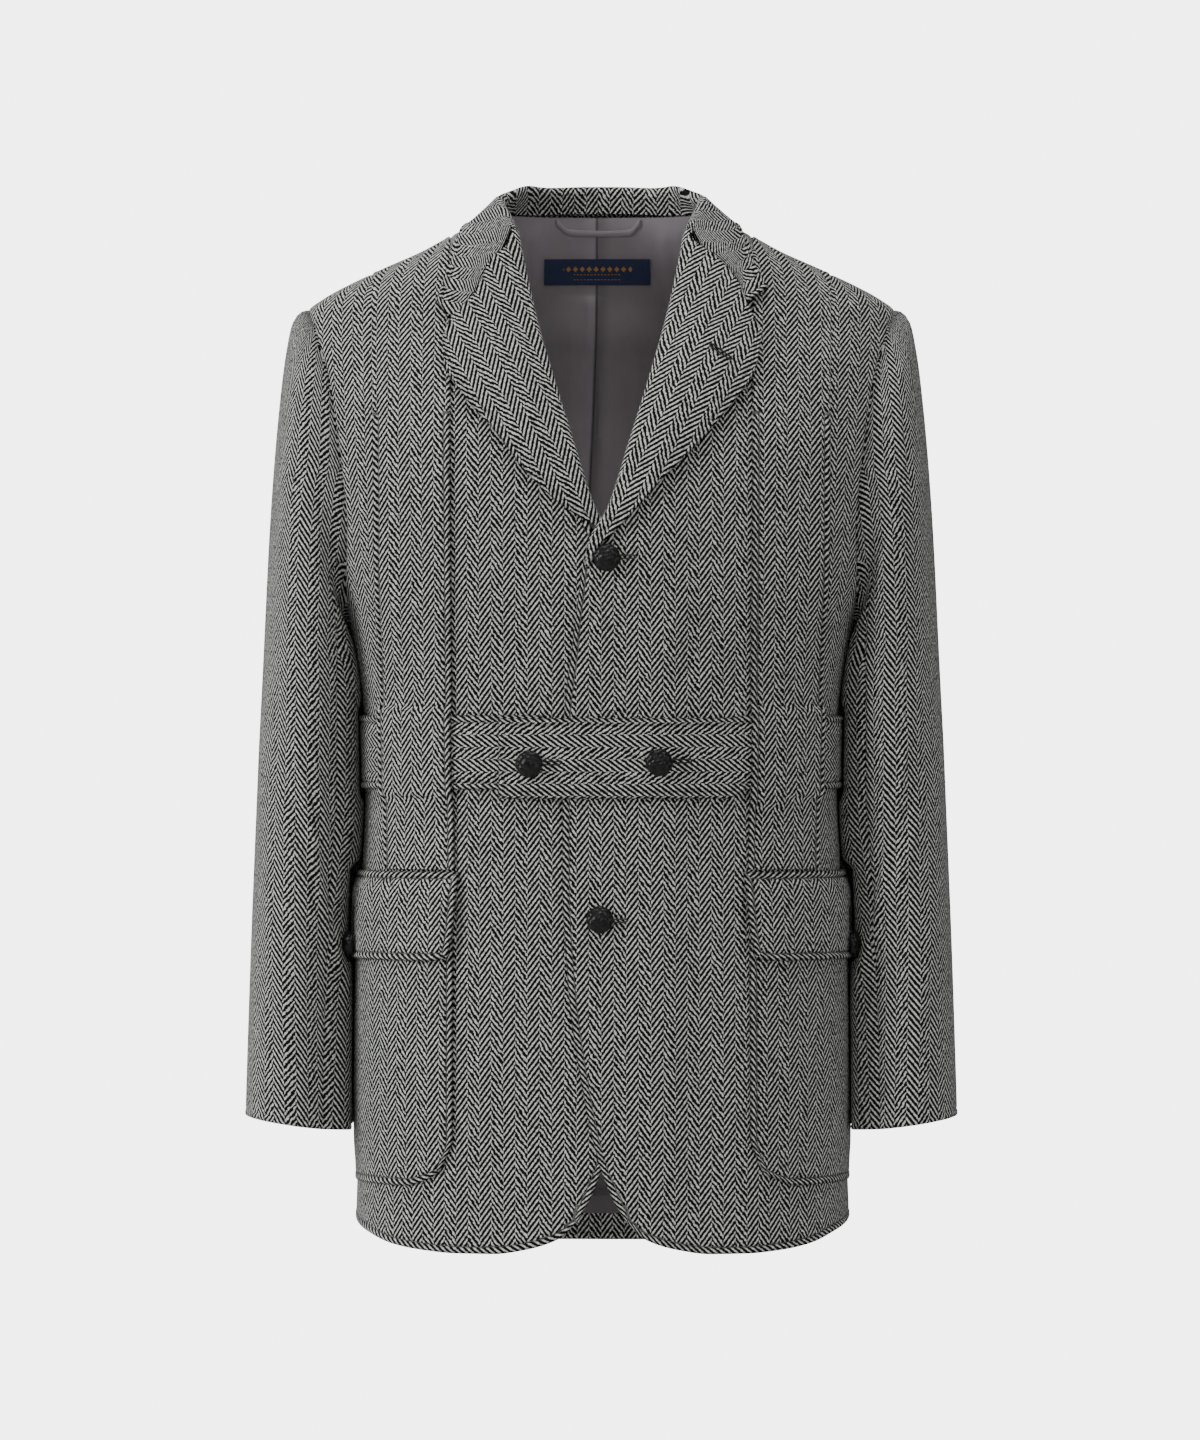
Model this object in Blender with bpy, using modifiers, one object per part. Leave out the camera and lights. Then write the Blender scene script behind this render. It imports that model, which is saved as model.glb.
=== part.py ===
"""Norfolk jacket: a tweed jacket filled out as if worn, with nothing inside it.

Metres, +Z up. +X is the wearer's left, the fronts face -Y, and the origin lies
between the shoulders at the height of the neck. The torso is one smooth body,
measured by the rows of BODY. Every panel is a sheet of points laid on that body
and moved out or in from it, so what lies on a panel follows the panel.
"""
import math

import bpy
import numpy as np
from mathutils import Matrix

CLOTH = 0.0018
LINING_CLOTH = 0.0010
LINING_LIFT = 0.0009
TRIM_CLOTH = 0.0010
BELT_CLOTH = 0.0020
SEAM = 0.0004
LIFT = 0.0014
LAP = 0.0034
ROLL_RADIUS = 0.0046
ROLL_CENTRE = -0.0006
LAPEL_LEG = 0.007
COLLAR_LEG = 0.003
LAPEL_LIFT = 0.0066
TOUCH = 0.0004
POCKET_LIFT = 0.0010
TRIM_LIFT = 0.0010

# height, half width at the side, depth to the front, depth to the back, squareness
BODY = (
    (-0.745, 0.1800, 0.128, 0.129, 2.45),
    (-0.650, 0.1775, 0.128, 0.129, 2.45),
    (-0.550, 0.1755, 0.125, 0.126, 2.45),
    (-0.457, 0.1735, 0.119, 0.118, 2.40),
    (-0.400, 0.1715, 0.1170, 0.110, 2.40),
    (-0.345, 0.1730, 0.1175, 0.108, 2.40),
    (-0.310, 0.1775, 0.1195, 0.111, 2.40),
    (-0.283, 0.1830, 0.122, 0.115, 2.40),
    (-0.245, 0.1950, 0.125, 0.121, 2.40),
    (-0.195, 0.2030, 0.125, 0.125, 2.40),
    (-0.158, 0.2100, 0.120, 0.126, 2.40),
    (-0.129, 0.2160, 0.112, 0.124, 2.30),
    (-0.100, 0.2200, 0.101, 0.118, 2.20),
    (-0.080, 0.2210, 0.090, 0.112, 2.20),
    (-0.065, 0.2190, 0.082, 0.106, 2.10),
    (-0.052, 0.2140, 0.076, 0.102, 2.10),
    (-0.044, 0.2040, 0.073, 0.100, 2.05),
    (-0.032, 0.1820, 0.069, 0.096, 2.00),
    (-0.020, 0.1550, 0.065, 0.092, 2.00),
    (-0.009, 0.1300, 0.0615, 0.088, 2.00),
    (0.003, 0.1085, 0.058, 0.0845, 2.00),
    (0.009, 0.0970, 0.0565, 0.083, 2.00),
    (0.015, 0.0885, 0.0555, 0.0815, 2.00),
    (0.0225, 0.0795, 0.055, 0.080, 2.00),
    (0.029, 0.0730, 0.055, 0.079, 2.00),
    (0.035, 0.0675, 0.0545, 0.0785, 2.00),
    (0.0405, 0.0620, 0.054, 0.078, 2.00),
    (0.055, 0.0520, 0.053, 0.077, 2.00),
)

ARMHOLE_TOP = -0.0512
ARMPIT = -0.283
ARMHOLE_DEPTH = (0.066, 0.069)
HEM_SIDE = -0.706
HEM_BACK = -0.736
NECK_POINT = (0.0797, 0.0, 0.0222)
NECK_BACK = 0.0217
SIDE_SEAM_BACK = 0.030

# height and distance from the centre line: the front edge, then the roll line
FRONT_EDGE = (
    (-0.704, 0.0170), (-0.6885, 0.0080), (-0.6655, -0.0010), (-0.652, -0.0035),
    (-0.613, -0.0130), (-0.564, -0.0200), (-0.515, -0.0260), (-0.450, -0.0280),
    (-0.408, -0.0300), (-0.343, -0.0250), (-0.297, -0.0205), (-0.267, -0.0170),
    (-0.245, -0.0135), (-0.222, -0.0090), (-0.199, 0.0037), (-0.147, 0.0205),
    (-0.105, 0.0335), (-0.052, 0.0480), (0.006, 0.0600), (0.014, 0.0615),
)
FRONT_HEM = ((0.017, -0.704), (0.0276, -0.715), (0.048, -0.7235), (0.088, -0.7285),
             (0.127, -0.7265), (0.150, -0.7230), (0.168, -0.7165))
EDGE_ROWS = (-0.704, -0.6885, -0.6655, -0.613, -0.540, -0.460, -0.370, -0.290, -0.2235)
NECK_ROW = (0.0725, -0.028, 0.0125)
ROLL_ROWS = (-0.2125, -0.190, -0.163, -0.134, -0.104, -0.072, -0.037, 0.001)
SIDE_ROWS = (HEM_SIDE, -0.677, -0.625, -0.565, -0.500, -0.435, -0.375, -0.325, ARMPIT)
ARMHOLE_CELLS = 10
SHOULDER_CELLS = 5
NECK_CELLS = 8
FRONT_CELLS = 10
GORGE_CELLS = 4
BREAK = {1: -0.2100, -1: -0.2005}
FOLD_TOP = 0.0045

# x and height of the lapel's outer edge from its foot to its tip, on each side
LAPEL_EDGE = {
    1: ((0.0065, -0.2125), (0.044, -0.178), (0.064, -0.1585), (0.088, -0.131),
        (0.1095, -0.099), (0.114, -0.075)),
    -1: ((0.0095, -0.2125), (0.029, -0.196), (0.0504, -0.177), (0.0746, -0.1457),
         (0.096, -0.1216), (0.1115, -0.094), (0.1125, -0.0775)),
}
GORGE = {
    1: ((0.0638, -0.0015), (0.079, -0.0165), (0.0955, -0.0356), (0.103, -0.052)),
    -1: ((0.0638, -0.0030), (0.0785, -0.0215), (0.0890, -0.0442), (0.106, -0.0626)),
}
COLLAR_TIP = {1: (0.119, -0.041), -1: (0.117, -0.051)}

# x, y and height along the collar's fold and its outer edge, front to centre back
FOLD = ((0.0605, -0.044, 0.0060), (0.0650, -0.026, 0.0185), (0.0690, 0.000, 0.0300),
        (0.0640, 0.030, 0.0385), (0.0500, 0.054, 0.0425), (0.0270, 0.072, 0.0440),
        (0.0, 0.0780, 0.0445))
COLLAR_EDGE = ((0.108, -0.050, -0.018), (0.0975, 0.000, 0.0085), (0.086, 0.045, -0.001),
               (0.052, 0.074, -0.009), (0.0, 0.0885, -0.0125))

BELT_TOP = -0.3455
BELT_BOTTOM = -0.3985
BELT_START = 0.042
BELT_END = 0.073
BELT_LAP = 0.0048
STRAP_BOTTOM = -0.4555
STRAP_BEND = -0.100
STRAP_CELLS = 4
SHOULDER_EASE = 0.0005

# height, then the strap's inner and outer edge, x at the front and at the back
STRAPS = (
    (-0.7300, 0.1030, 0.1545, 0.0800, 0.1330),
    (-0.4555, 0.1035, 0.1545, 0.0745, 0.1265),
    (-0.3800, 0.1045, 0.1555, 0.0745, 0.1270),
    (-0.2500, 0.1060, 0.1600, 0.0810, 0.1345),
    (-0.1300, 0.1070, 0.1630, 0.0930, 0.1470),
    (-0.0600, 0.1085, 0.1650, 0.1040, 0.1590),
    (0.0000, 0.1100, 0.1660, 0.1100, 0.1660),
)
STRAP_ROWS = (-0.428, BELT_BOTTOM - 0.009, BELT_BOTTOM - 0.0025, -0.372, BELT_TOP + 0.0025,
              BELT_TOP + 0.009, -0.300, -0.258, -0.220, -0.186, -0.155, -0.127, STRAP_BEND,
              -0.075, -0.052, -0.032, -0.016, -0.005, 0.0)
FLAP_TOP = -0.4570
FLAP_DROP = 0.064
POCKET_TOP = -0.474
POCKET_BOTTOM = -0.681
POCKET_WIDTH = 0.200
POCKET_INNER = 0.1045
POCKET_SWELL = 0.0016
POCKET_CORNER = 0.036
FLAP_CORNER = 0.007
FLAP_OVERHANG = 0.001
BUTTON_RADIUS = 0.0096
BUTTON_HEIGHT = 0.0085
BUTTON_GAP = 0.0007
TAB_DROP = 0.0065

# x and height of each fastening button, and how far out its seat lies
BUTTONS = (
    ("button_front_top", 0.004, -0.234, LAP),
    ("button_front_bottom", -0.001, -0.491, LAP),
    ("button_belt_outer", -0.050, -0.380, BELT_LAP + BELT_CLOTH),
    ("button_belt_inner", 0.040, -0.379, BELT_LAP + BELT_CLOTH),
)
FLAP_BUTTON_REACH = 0.104
FLAP_BUTTON_HEIGHT = -0.511

# inside the back of the neck: the label's lower left and upper right, the loop's line
LABEL = ((-0.043, -0.0255), (0.037, -0.0070))
LOOP = ((-0.0350, 0.0195), (-0.0240, 0.0120), (0.0, 0.0110), (0.0215, 0.0120),
        (0.0300, 0.0195))
LOOP_WIDTH = 0.0044

# outer edge x and height, inner edge x and height, half depth, forward shift
SLEEVE = (
    (0.2195, -0.0565, 0.1860, -0.2835, 0.068, 0.000),
    (0.2250, -0.0660, 0.1875, -0.2870, 0.070, 0.000),
    (0.2295, -0.0880, 0.1870, -0.2950, 0.071, 0.000),
    (0.2345, -0.1270, 0.1810, -0.3100, 0.072, 0.001),
    (0.2385, -0.1720, 0.1777, -0.3300, 0.072, 0.003),
    (0.2420, -0.2250, 0.1772, -0.3560, 0.072, 0.005),
    (0.2450, -0.2850, 0.1768, -0.3900, 0.071, 0.007),
    (0.2475, -0.3400, 0.1765, -0.4240, 0.070, 0.008),
    (0.2502, -0.3950, 0.1805, -0.4600, 0.068, 0.008),
    (0.2525, -0.4500, 0.1840, -0.4980, 0.066, 0.006),
    (0.2543, -0.5000, 0.1845, -0.5350, 0.064, 0.002),
    (0.2558, -0.5500, 0.1850, -0.5720, 0.062, -0.003),
    (0.2570, -0.5950, 0.1855, -0.6080, 0.060, -0.008),
    (0.2580, -0.6350, 0.1855, -0.6450, 0.058, -0.012),
)
RING_CELLS = 2 * ARMHOLE_CELLS
SEAM_CELL = 7

COLOURS = {
    "tweed": (0.16, 0.16, 0.155, 1.0),
    "lining": (0.085, 0.075, 0.083, 1.0),
    "leather": (0.012, 0.011, 0.011, 1.0),
    "label": (0.022, 0.030, 0.068, 1.0),
}
ROUGHNESS = {"tweed": 0.95, "lining": 0.45, "leather": 0.3, "label": 0.7}


def clear_scene():
    """Remove what a new file holds."""
    for thing in list(bpy.data.objects):
        bpy.data.objects.remove(thing, do_unlink=True)


def steady_curve(xs, ys, at):
    """A smooth curve through (xs, ys) that never overshoots its points."""
    xs, ys, at = np.asarray(xs, float), np.asarray(ys, float), np.asarray(at, float)
    step, rise = np.diff(xs), np.diff(ys)
    slope = rise / step
    inner = np.zeros(len(xs))
    same = slope[:-1] * slope[1:] > 0.0
    weight_a = 2.0 * step[1:] + step[:-1]
    weight_b = step[1:] + 2.0 * step[:-1]
    safe_a = np.where(same, slope[:-1], 1.0)
    safe_b = np.where(same, slope[1:], 1.0)
    mean = (weight_a + weight_b) / (weight_a / safe_a + weight_b / safe_b)
    inner[1:-1] = np.where(same, mean, 0.0)
    inner[0], inner[-1] = slope[0], slope[-1]
    place = np.clip(np.searchsorted(xs, at) - 1, 0, len(step) - 1)
    width = step[place]
    t = np.clip((at - xs[place]) / width, 0.0, 1.0)
    keep = (1.0 + 2.0 * t) * (1.0 - t) ** 2
    return (keep * ys[place] + (1.0 - keep) * ys[place + 1]
            + t * (1.0 - t) ** 2 * width * inner[place]
            - t ** 2 * (1.0 - t) * width * inner[place + 1])


def ramp(low, high, value):
    """0 below low, 1 above high, and smooth between."""
    t = np.clip((np.asarray(value, float) - low) / (high - low), 0.0, 1.0)
    return t * t * (3.0 - 2.0 * t)


BODY_COLUMNS = np.array(BODY).T


def body_row(z):
    """Half width, front depth, back depth and squareness at each height."""
    return [steady_curve(BODY_COLUMNS[0], column, z) for column in BODY_COLUMNS[1:]]


def body_field(p):
    """Zero on the torso, negative inside it."""
    width, front, back, power = body_row(p[..., 2])
    depth = np.where(p[..., 1] < 0.0, front, back)
    total = np.abs(p[..., 0] / width) ** power + np.abs(p[..., 1] / depth) ** power
    return np.maximum(total, 1e-12) ** (1.0 / power) - 1.0


def body_slope(p):
    """The gradient of body_field, by central differences."""
    small = 2e-5
    parts = []
    for axis in np.eye(3):
        parts.append((body_field(p + small * axis) - body_field(p - small * axis))
                     / (2.0 * small))
    return np.stack(parts, axis=-1)


def on_body(points):
    """Move points to the torso along its slope."""
    p = np.array(points, float)
    for _ in range(14):
        slope = body_slope(p)
        size = np.sum(slope * slope, axis=-1, keepdims=True)
        p = p - body_field(p)[..., None] * slope / size
    return p


def body_normal(p):
    """The outward direction of the torso at points on it."""
    slope = body_slope(p)
    return slope / np.linalg.norm(slope, axis=-1, keepdims=True)


def moved_out(points, distance):
    """Points on the torso moved out by a distance, or in by a negative one."""
    distance = np.asarray(distance, float)
    return points + body_normal(points) * distance[..., None]


def at_front(x, z, face=-1.0):
    """The point of the torso's front, or of its back, at x and z."""
    x, z = np.broadcast_arrays(np.asarray(x, float), np.asarray(z, float))
    width, front, back, power = body_row(z)
    depth = front if face < 0.0 else back
    share = np.clip(1.0 - np.abs(x / width) ** power, 0.0, 1.0)
    return np.stack([x, face * depth * share ** (1.0 / power), z], axis=-1)


def ridge_height(x):
    """Height of the shoulder's ridge at a distance from the centre."""
    heights = np.linspace(0.055, ARMHOLE_TOP, 200)
    return np.interp(x, body_row(heights)[0], heights)


def thread(points, count, power=1.0):
    """A smooth curve through points, cut into count equal steps."""
    points = np.asarray(points, float)
    length = np.concatenate([[0.0], np.cumsum(np.linalg.norm(np.diff(points, axis=0), axis=1))])
    fine = np.linspace(0.0, length[-1], 240)
    curve = np.stack([steady_curve(length, points[:, i], fine) for i in range(points.shape[1])], 1)
    run = np.concatenate([[0.0], np.cumsum(np.linalg.norm(np.diff(curve, axis=0), axis=1))])
    want = run[-1] * np.linspace(0.0, 1.0, count + 1) ** power
    return np.stack([np.interp(want, run, curve[:, i]) for i in range(points.shape[1])], 1)


def patch(bottom, top, left, right):
    """Points inside four meeting edges, blended from them, as [row, column]."""
    v = np.linspace(0.0, 1.0, len(left))[:, None, None]
    u = np.linspace(0.0, 1.0, len(bottom))[None, :, None]
    sides = (1.0 - u) * left[:, None] + u * right[:, None]
    ends = (1.0 - v) * bottom[None] + v * top[None]
    corners = ((1.0 - u) * (1.0 - v) * bottom[0] + u * (1.0 - v) * bottom[-1]
               + (1.0 - u) * v * top[0] + u * v * top[-1])
    return sides + ends - corners


def seam_allowance(grid, edges):
    """Draw the named edges of a sheet in by half a seam's gap."""
    grid = grid.copy()
    pairs = {"bottom": (np.s_[0, :], np.s_[1, :]), "top": (np.s_[-1, :], np.s_[-2, :]),
             "left": (np.s_[:, 0], np.s_[:, 1]), "right": (np.s_[:, -1], np.s_[:, -2])}
    for edge in edges:
        rim, inner = pairs[edge]
        step = grid[inner] - grid[rim]
        grid[rim] += step / np.linalg.norm(step, axis=-1, keepdims=True) * SEAM * 0.6
    return grid


def material(kind):
    """One plain material for each kind of stuff."""
    found = bpy.data.materials.get(kind)
    if found:
        return found
    made = bpy.data.materials.new(kind)
    made.use_nodes = True
    shader = made.node_tree.nodes["Principled BSDF"]
    shader.inputs["Base Color"].default_value = COLOURS[kind]
    shader.inputs["Roughness"].default_value = ROUGHNESS[kind]
    shader.inputs["Metallic"].default_value = 0.0
    made.diffuse_color = COLOURS[kind]
    return made


def named_material(name, kind):
    """The piece's own material, a copy of its kind."""
    own = material(kind).copy()
    own.name = name
    return own


def keep(thing, name, kind):
    """Name an object, give it its material and put it with the jacket."""
    thing.name = name
    thing.data.name = name
    thing.data.materials.clear()
    thing.data.materials.append(named_material(name, kind))
    for home in list(thing.users_collection):
        home.objects.unlink(thing)
    bpy.data.collections["norfolk_jacket"].objects.link(thing)
    return thing


def shell(name, outer, inner, kind="tweed"):
    """A closed wall between two grids of points, its outer and its inner face."""
    rows, columns = outer.shape[:2]
    points = np.concatenate([outer.reshape(-1, 3), inner.reshape(-1, 3)])
    index = np.arange(rows * columns).reshape(rows, columns)
    under = rows * columns
    faces = []
    for row in range(rows - 1):
        for column in range(columns - 1):
            quad = [index[row, column], index[row, column + 1],
                    index[row + 1, column + 1], index[row + 1, column]]
            rising = np.linalg.norm(points[quad[2]] - points[quad[0]])
            falling = np.linalg.norm(points[quad[3]] - points[quad[1]])
            if falling < rising:
                quad = quad[1:] + quad[:1]
            for half in (quad[:3], [quad[2], quad[3], quad[0]]):
                faces.append(half)
                faces.append([corner + under for corner in reversed(half)])
    rim = np.concatenate([index[0, :-1], index[:-1, -1], index[-1, :0:-1], index[:0:-1, 0]])
    for here, following in zip(rim, np.roll(rim, -1)):
        faces.append([following, here, here + under, following + under])
    mesh = bpy.data.meshes.new(name)
    mesh.from_pydata(points.tolist(), [], [[int(corner) for corner in face] for face in faces])
    row, column = rows // 2, columns // 2
    facing = np.cross(outer[row, column] - outer[row, column - 1],
                      outer[row, column] - outer[row - 1, column])
    if np.dot(facing, outer[row, column] - inner[row, column]) < 0.0:
        mesh.flip_normals()
    mesh.shade_smooth()
    mesh.set_sharp_from_angle(angle=math.radians(50.0))
    thing = bpy.data.objects.new(name, mesh)
    bpy.context.scene.collection.objects.link(thing)
    return keep(thing, name, kind)


def laid(name, grid, height, side=1, kind="tweed", thickness=CLOTH, seams=()):
    """Cloth on the torso, its outer face at a height over the grid's points."""
    normal = body_normal(grid)
    height = np.broadcast_to(np.asarray(height, float), grid.shape[:2])[..., None]
    outer = seam_allowance(grid + normal * height, seams)
    inner = outer - normal * thickness
    return shell(name, mirrored(outer, side), mirrored(inner, side), kind)


def grid_normals(grid):
    """Normals of a sheet of points, from its own rows and columns."""
    normal = np.cross(np.gradient(grid, axis=1), np.gradient(grid, axis=0))
    return normal / np.linalg.norm(normal, axis=-1, keepdims=True)


def relaxed(grid):
    """Even out the points inside a patch and lay them back on the torso."""
    grid = on_body(grid)
    for turn in range(60):
        grid[1:-1, 1:-1] = 0.25 * (grid[:-2, 1:-1] + grid[2:, 1:-1]
                                   + grid[1:-1, :-2] + grid[1:-1, 2:])
        if turn % 6 == 5:
            grid[1:-1, 1:-1] = on_body(grid[1:-1, 1:-1])
    return grid


def mirrored(points, side):
    """The same points on the wearer's left (1) or right (-1)."""
    return points * np.array([side, 1.0, 1.0])


def armhole(angle):
    """The armhole on the wearer's left: 0 at the shoulder, 90 degrees at the front."""
    angle = np.asarray(angle, float)
    middle, reach = (ARMHOLE_TOP + ARMPIT) / 2.0, (ARMHOLE_TOP - ARMPIT) / 2.0
    z = middle + reach * np.cos(angle)
    swing = np.sin(angle)
    depth = np.where(swing > 0.0, ARMHOLE_DEPTH[0], ARMHOLE_DEPTH[1])
    y = -depth * swing * (1.0 - 0.12 * np.cos(angle))
    width, front, back, power = body_row(z)
    across = np.where(y < 0.0, front, back)
    x = width * np.clip(1.0 - np.abs(y / across) ** power, 0.0, 1.0) ** (1.0 / power)
    return np.stack([x, y, z], axis=-1)


def side_curve(face):
    """The side seam from the hem to the armpit, then the armhole to the shoulder."""
    z = np.array(SIDE_ROWS)
    y = SIDE_SEAM_BACK * (ARMPIT - z) / (ARMPIT - HEM_SIDE)
    width, _, back, power = body_row(z)
    x = width * (1.0 - (y / back) ** power) ** (1.0 / power)
    seam = np.stack([x, y, z], axis=-1)
    turn = np.linspace(math.pi, 0.0, ARMHOLE_CELLS + 1)[1:]
    return np.concatenate([seam, armhole(turn if face < 0.0 else -turn)])


def shoulder_seam(cells):
    """The shoulder seam along the ridge, from the neck to the armhole."""
    end = armhole(0.0)
    x = np.linspace(NECK_POINT[0], end[0], cells + 1)
    points = np.stack([x, 0.0 * x, ridge_height(x)], axis=-1)
    points[0], points[-1] = NECK_POINT, end
    return points


def edge_distance(z):
    """Distance of the front edge, or of the roll line, from the centre."""
    table = np.array(FRONT_EDGE)
    return steady_curve(table[:, 0], table[:, 1], z)


def lap_height(p):
    """How far the overlapping front stands off the torso."""
    across = 1.0 - ramp(0.042, 0.070, p[..., 0])
    return LAP * across * (1.0 - ramp(-0.205, -0.165, p[..., 2]))


def front_grid(side):
    """The points of one front, on the torso."""
    low, high = np.array(EDGE_ROWS), np.array(ROLL_ROWS)
    x_high = edge_distance(high) + ROLL_RADIUS + 0.0012
    if side < 0:
        x_high[0] = 0.0070
    edge = np.concatenate([at_front(edge_distance(low), low), at_front(x_high, high),
                           on_body([NECK_ROW]), [NECK_POINT]])
    side_edge = side_curve(-1.0)
    hem = [at_front(x, z) for x, z in FRONT_HEM]
    bottom = thread(np.concatenate([hem, side_edge[:1]]), FRONT_CELLS, 1.15)
    top = thread(shoulder_seam(SHOULDER_CELLS), FRONT_CELLS)
    bottom[0], edge[0] = edge[0], edge[0]
    return relaxed(patch(bottom, top, edge, side_edge))


def make_fronts():
    """Both fronts; the wearer's left one overlaps the other."""
    for side, name in ((1, "front_left"), (-1, "front_right")):
        grid = front_grid(side)
        height = lap_height(grid) if side > 0 else 0.0
        laid(name, grid, height, side, seams=("right", "top"))


def hem_height(x):
    """Height of the back's hem, which falls from the sides to the middle."""
    return HEM_BACK + (HEM_SIDE - HEM_BACK) * (x / side_curve(1.0)[0, 0]) ** 4


def back_grid():
    """The points of the back, on the torso, from the left side to the right."""
    left = side_curve(1.0)
    turn = np.linspace(0.0, math.pi, NECK_CELLS + 1)
    neck = [(NECK_POINT[0] * math.cos(t), 0.079 * math.sin(t),
             NECK_POINT[2] + (NECK_BACK - NECK_POINT[2]) * math.sin(t)) for t in turn]
    shoulder = thread(shoulder_seam(SHOULDER_CELLS), FRONT_CELLS)[::2]
    top = np.concatenate([shoulder[::-1], on_body(neck)[1:-1], mirrored(shoulder, -1)])
    across = np.cos(np.linspace(0.0, math.pi, len(top)))
    hem_x = left[0, 0] * across
    bottom = at_front(hem_x, hem_height(hem_x), 1.0)
    bottom[0], bottom[-1] = left[0], mirrored(left[0], -1)
    return relaxed(patch(bottom, top, left, mirrored(left, -1)))


def make_back():
    """The back and, inside it, the back's lining."""
    grid = back_grid()
    laid("back", grid, 0.0, seams=("left", "right", "top"))
    laid("lining_back", grid[1:], -(CLOTH + LINING_LIFT), kind="lining",
         thickness=LINING_CLOTH, seams=("left", "right", "top"))


def strap_grid(face, rows):
    """A strap's points: straight up the torso, then in to the shoulder seam."""
    table = np.array(STRAPS)
    first = 1 if face < 0.0 else 3
    rows = np.array(rows)
    share = np.linspace(0.0, 1.0, STRAP_CELLS + 1)
    inner = steady_curve(table[:, 0], table[:, first], rows)[:, None]
    outer = steady_curve(table[:, 0], table[:, first + 1], rows)[:, None]
    x = inner + (outer - inner) * share
    rise = np.clip(1.0 - rows / STRAP_BEND, 0.0, 1.0)[:, None]
    z = np.where(rise > 0.0, STRAP_BEND + (ridge_height(x) - STRAP_BEND) * rise, rows[:, None])
    if face > 0.0:
        z = np.maximum(z, hem_height(x) + 0.003)
    grid = at_front(x, z, face)
    grid[-1, :, 1] = face * SEAM
    return grid


def make_straps():
    """Two straps down the front and two down the back, over the belt."""
    lower = {"front": (STRAP_BOTTOM,), "back": (-0.731, -0.680, -0.620, -0.560, -0.500, -0.455)}
    for where, face in (("front", -1.0), ("back", 1.0)):
        grid = strap_grid(face, lower[where] + STRAP_ROWS)
        z = grid[..., 2]
        over_belt = ramp(BELT_BOTTOM - 0.008, BELT_BOTTOM - 0.003, z)
        over_belt = over_belt * (1.0 - ramp(BELT_TOP + 0.003, BELT_TOP + 0.008, z))
        at_shoulder = SHOULDER_EASE * ramp(-0.14, STRAP_BEND, z)
        height = LIFT + CLOTH + over_belt * (LIFT + BELT_CLOTH) + at_shoulder
        for side, hand in ((1, "left"), (-1, "right")):
            laid(f"strap_{where}_{hand}", grid, height, side)


def make_belt():
    """The belt, once round the waist, its end lapped over its beginning."""
    cells = 66
    middle = (BELT_TOP + BELT_BOTTOM) / 2.0
    depth = body_row(np.array(middle))[1]
    start = math.atan2(-depth, -BELT_START)
    finish = math.atan2(-depth * 0.96, -BELT_END) - 2.0 * math.pi
    turn = np.linspace(start, finish, cells + 1)
    lapped = (turn < -2.0 * math.pi) * (1.0 - ramp(0.35, 0.55, np.cos(turn)))
    levels = (BELT_BOTTOM - TAB_DROP * lapped, middle - 0.5 * TAB_DROP * lapped,
              BELT_TOP - 0.0020 * lapped)
    rows = []
    for z in levels:
        width, front, back, power = body_row(z)
        across = np.where(np.sin(turn) < 0.0, front, back)
        reach = (np.abs(np.cos(turn) / width) ** power
                 + np.abs(np.sin(turn) / across) ** power) ** (-1.0 / power)
        rows.append(np.stack([reach * np.cos(turn), reach * np.sin(turn), z], -1))
    height = LIFT + BELT_CLOTH + (BELT_LAP - LIFT) * lapped
    laid("belt", np.stack(rows), height[None, :], thickness=BELT_CLOTH)


def around(reach, z):
    """Points on the torso at a distance round it from the pocket's inner edge."""
    angle = np.linspace(-math.pi / 2.0, math.pi / 2.0, 400)
    reach, z = np.broadcast_arrays(np.asarray(reach, float), np.asarray(z, float))
    points = np.empty(reach.shape + (3,))
    for place in np.ndindex(reach.shape):
        width, front, back, power = body_row(z[place])
        depth = np.where(angle < 0.0, front, back)
        r = (np.abs(np.cos(angle) / width) ** power
             + np.abs(np.sin(angle) / depth) ** power) ** (-1.0 / power)
        x, y = r * np.cos(angle), r * np.sin(angle)
        run = np.concatenate([[0.0], np.cumsum(np.hypot(np.diff(x), np.diff(y)))])
        origin = np.interp(POCKET_INNER, x[:200], run[:200])
        at = origin + reach[place]
        points[place] = (np.interp(at, run, x), np.interp(at, run, y), z[place])
    return points


def rounded_patch(width, top, bottom, corner, columns, rows):
    """A flat outline with round lower corners, as (reach, height) points."""
    bend = corner * (1.0 - math.sqrt(0.5))
    left_foot, right_foot = (bend, bottom + bend), (width - bend, bottom + bend)
    left = thread([left_foot, (0.0, bottom + corner), (0.0, top)], rows)
    right = thread([right_foot, (width, bottom + corner), (width, top)], rows)
    floor = thread([left_foot, (corner, bottom), (width - corner, bottom), right_foot], columns)
    head = thread([(0.0, top), (width, top)], columns)
    return patch(floor, head, left, right)


def make_pockets():
    """Patch pockets that wrap round the sides, and their flaps."""
    pocket = rounded_patch(POCKET_WIDTH, POCKET_TOP, POCKET_BOTTOM, POCKET_CORNER, 12, 7)
    flap = rounded_patch(POCKET_WIDTH + 2.0 * FLAP_OVERHANG, FLAP_TOP, FLAP_TOP - FLAP_DROP,
                         FLAP_CORNER, 12, 3)
    flap[..., 0] -= FLAP_OVERHANG
    pocket_grid = around(pocket[..., 0], pocket[..., 1])
    flap_grid = around(flap[..., 0], flap[..., 1])
    for side, hand in ((1, "left"), (-1, "right")):
        laid(f"pocket_{hand}", pocket_grid, POCKET_LIFT + CLOTH + pocket_swell(pocket), side)
        laid(f"flap_{hand}", flap_grid, flap_height(flap), side)


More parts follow.
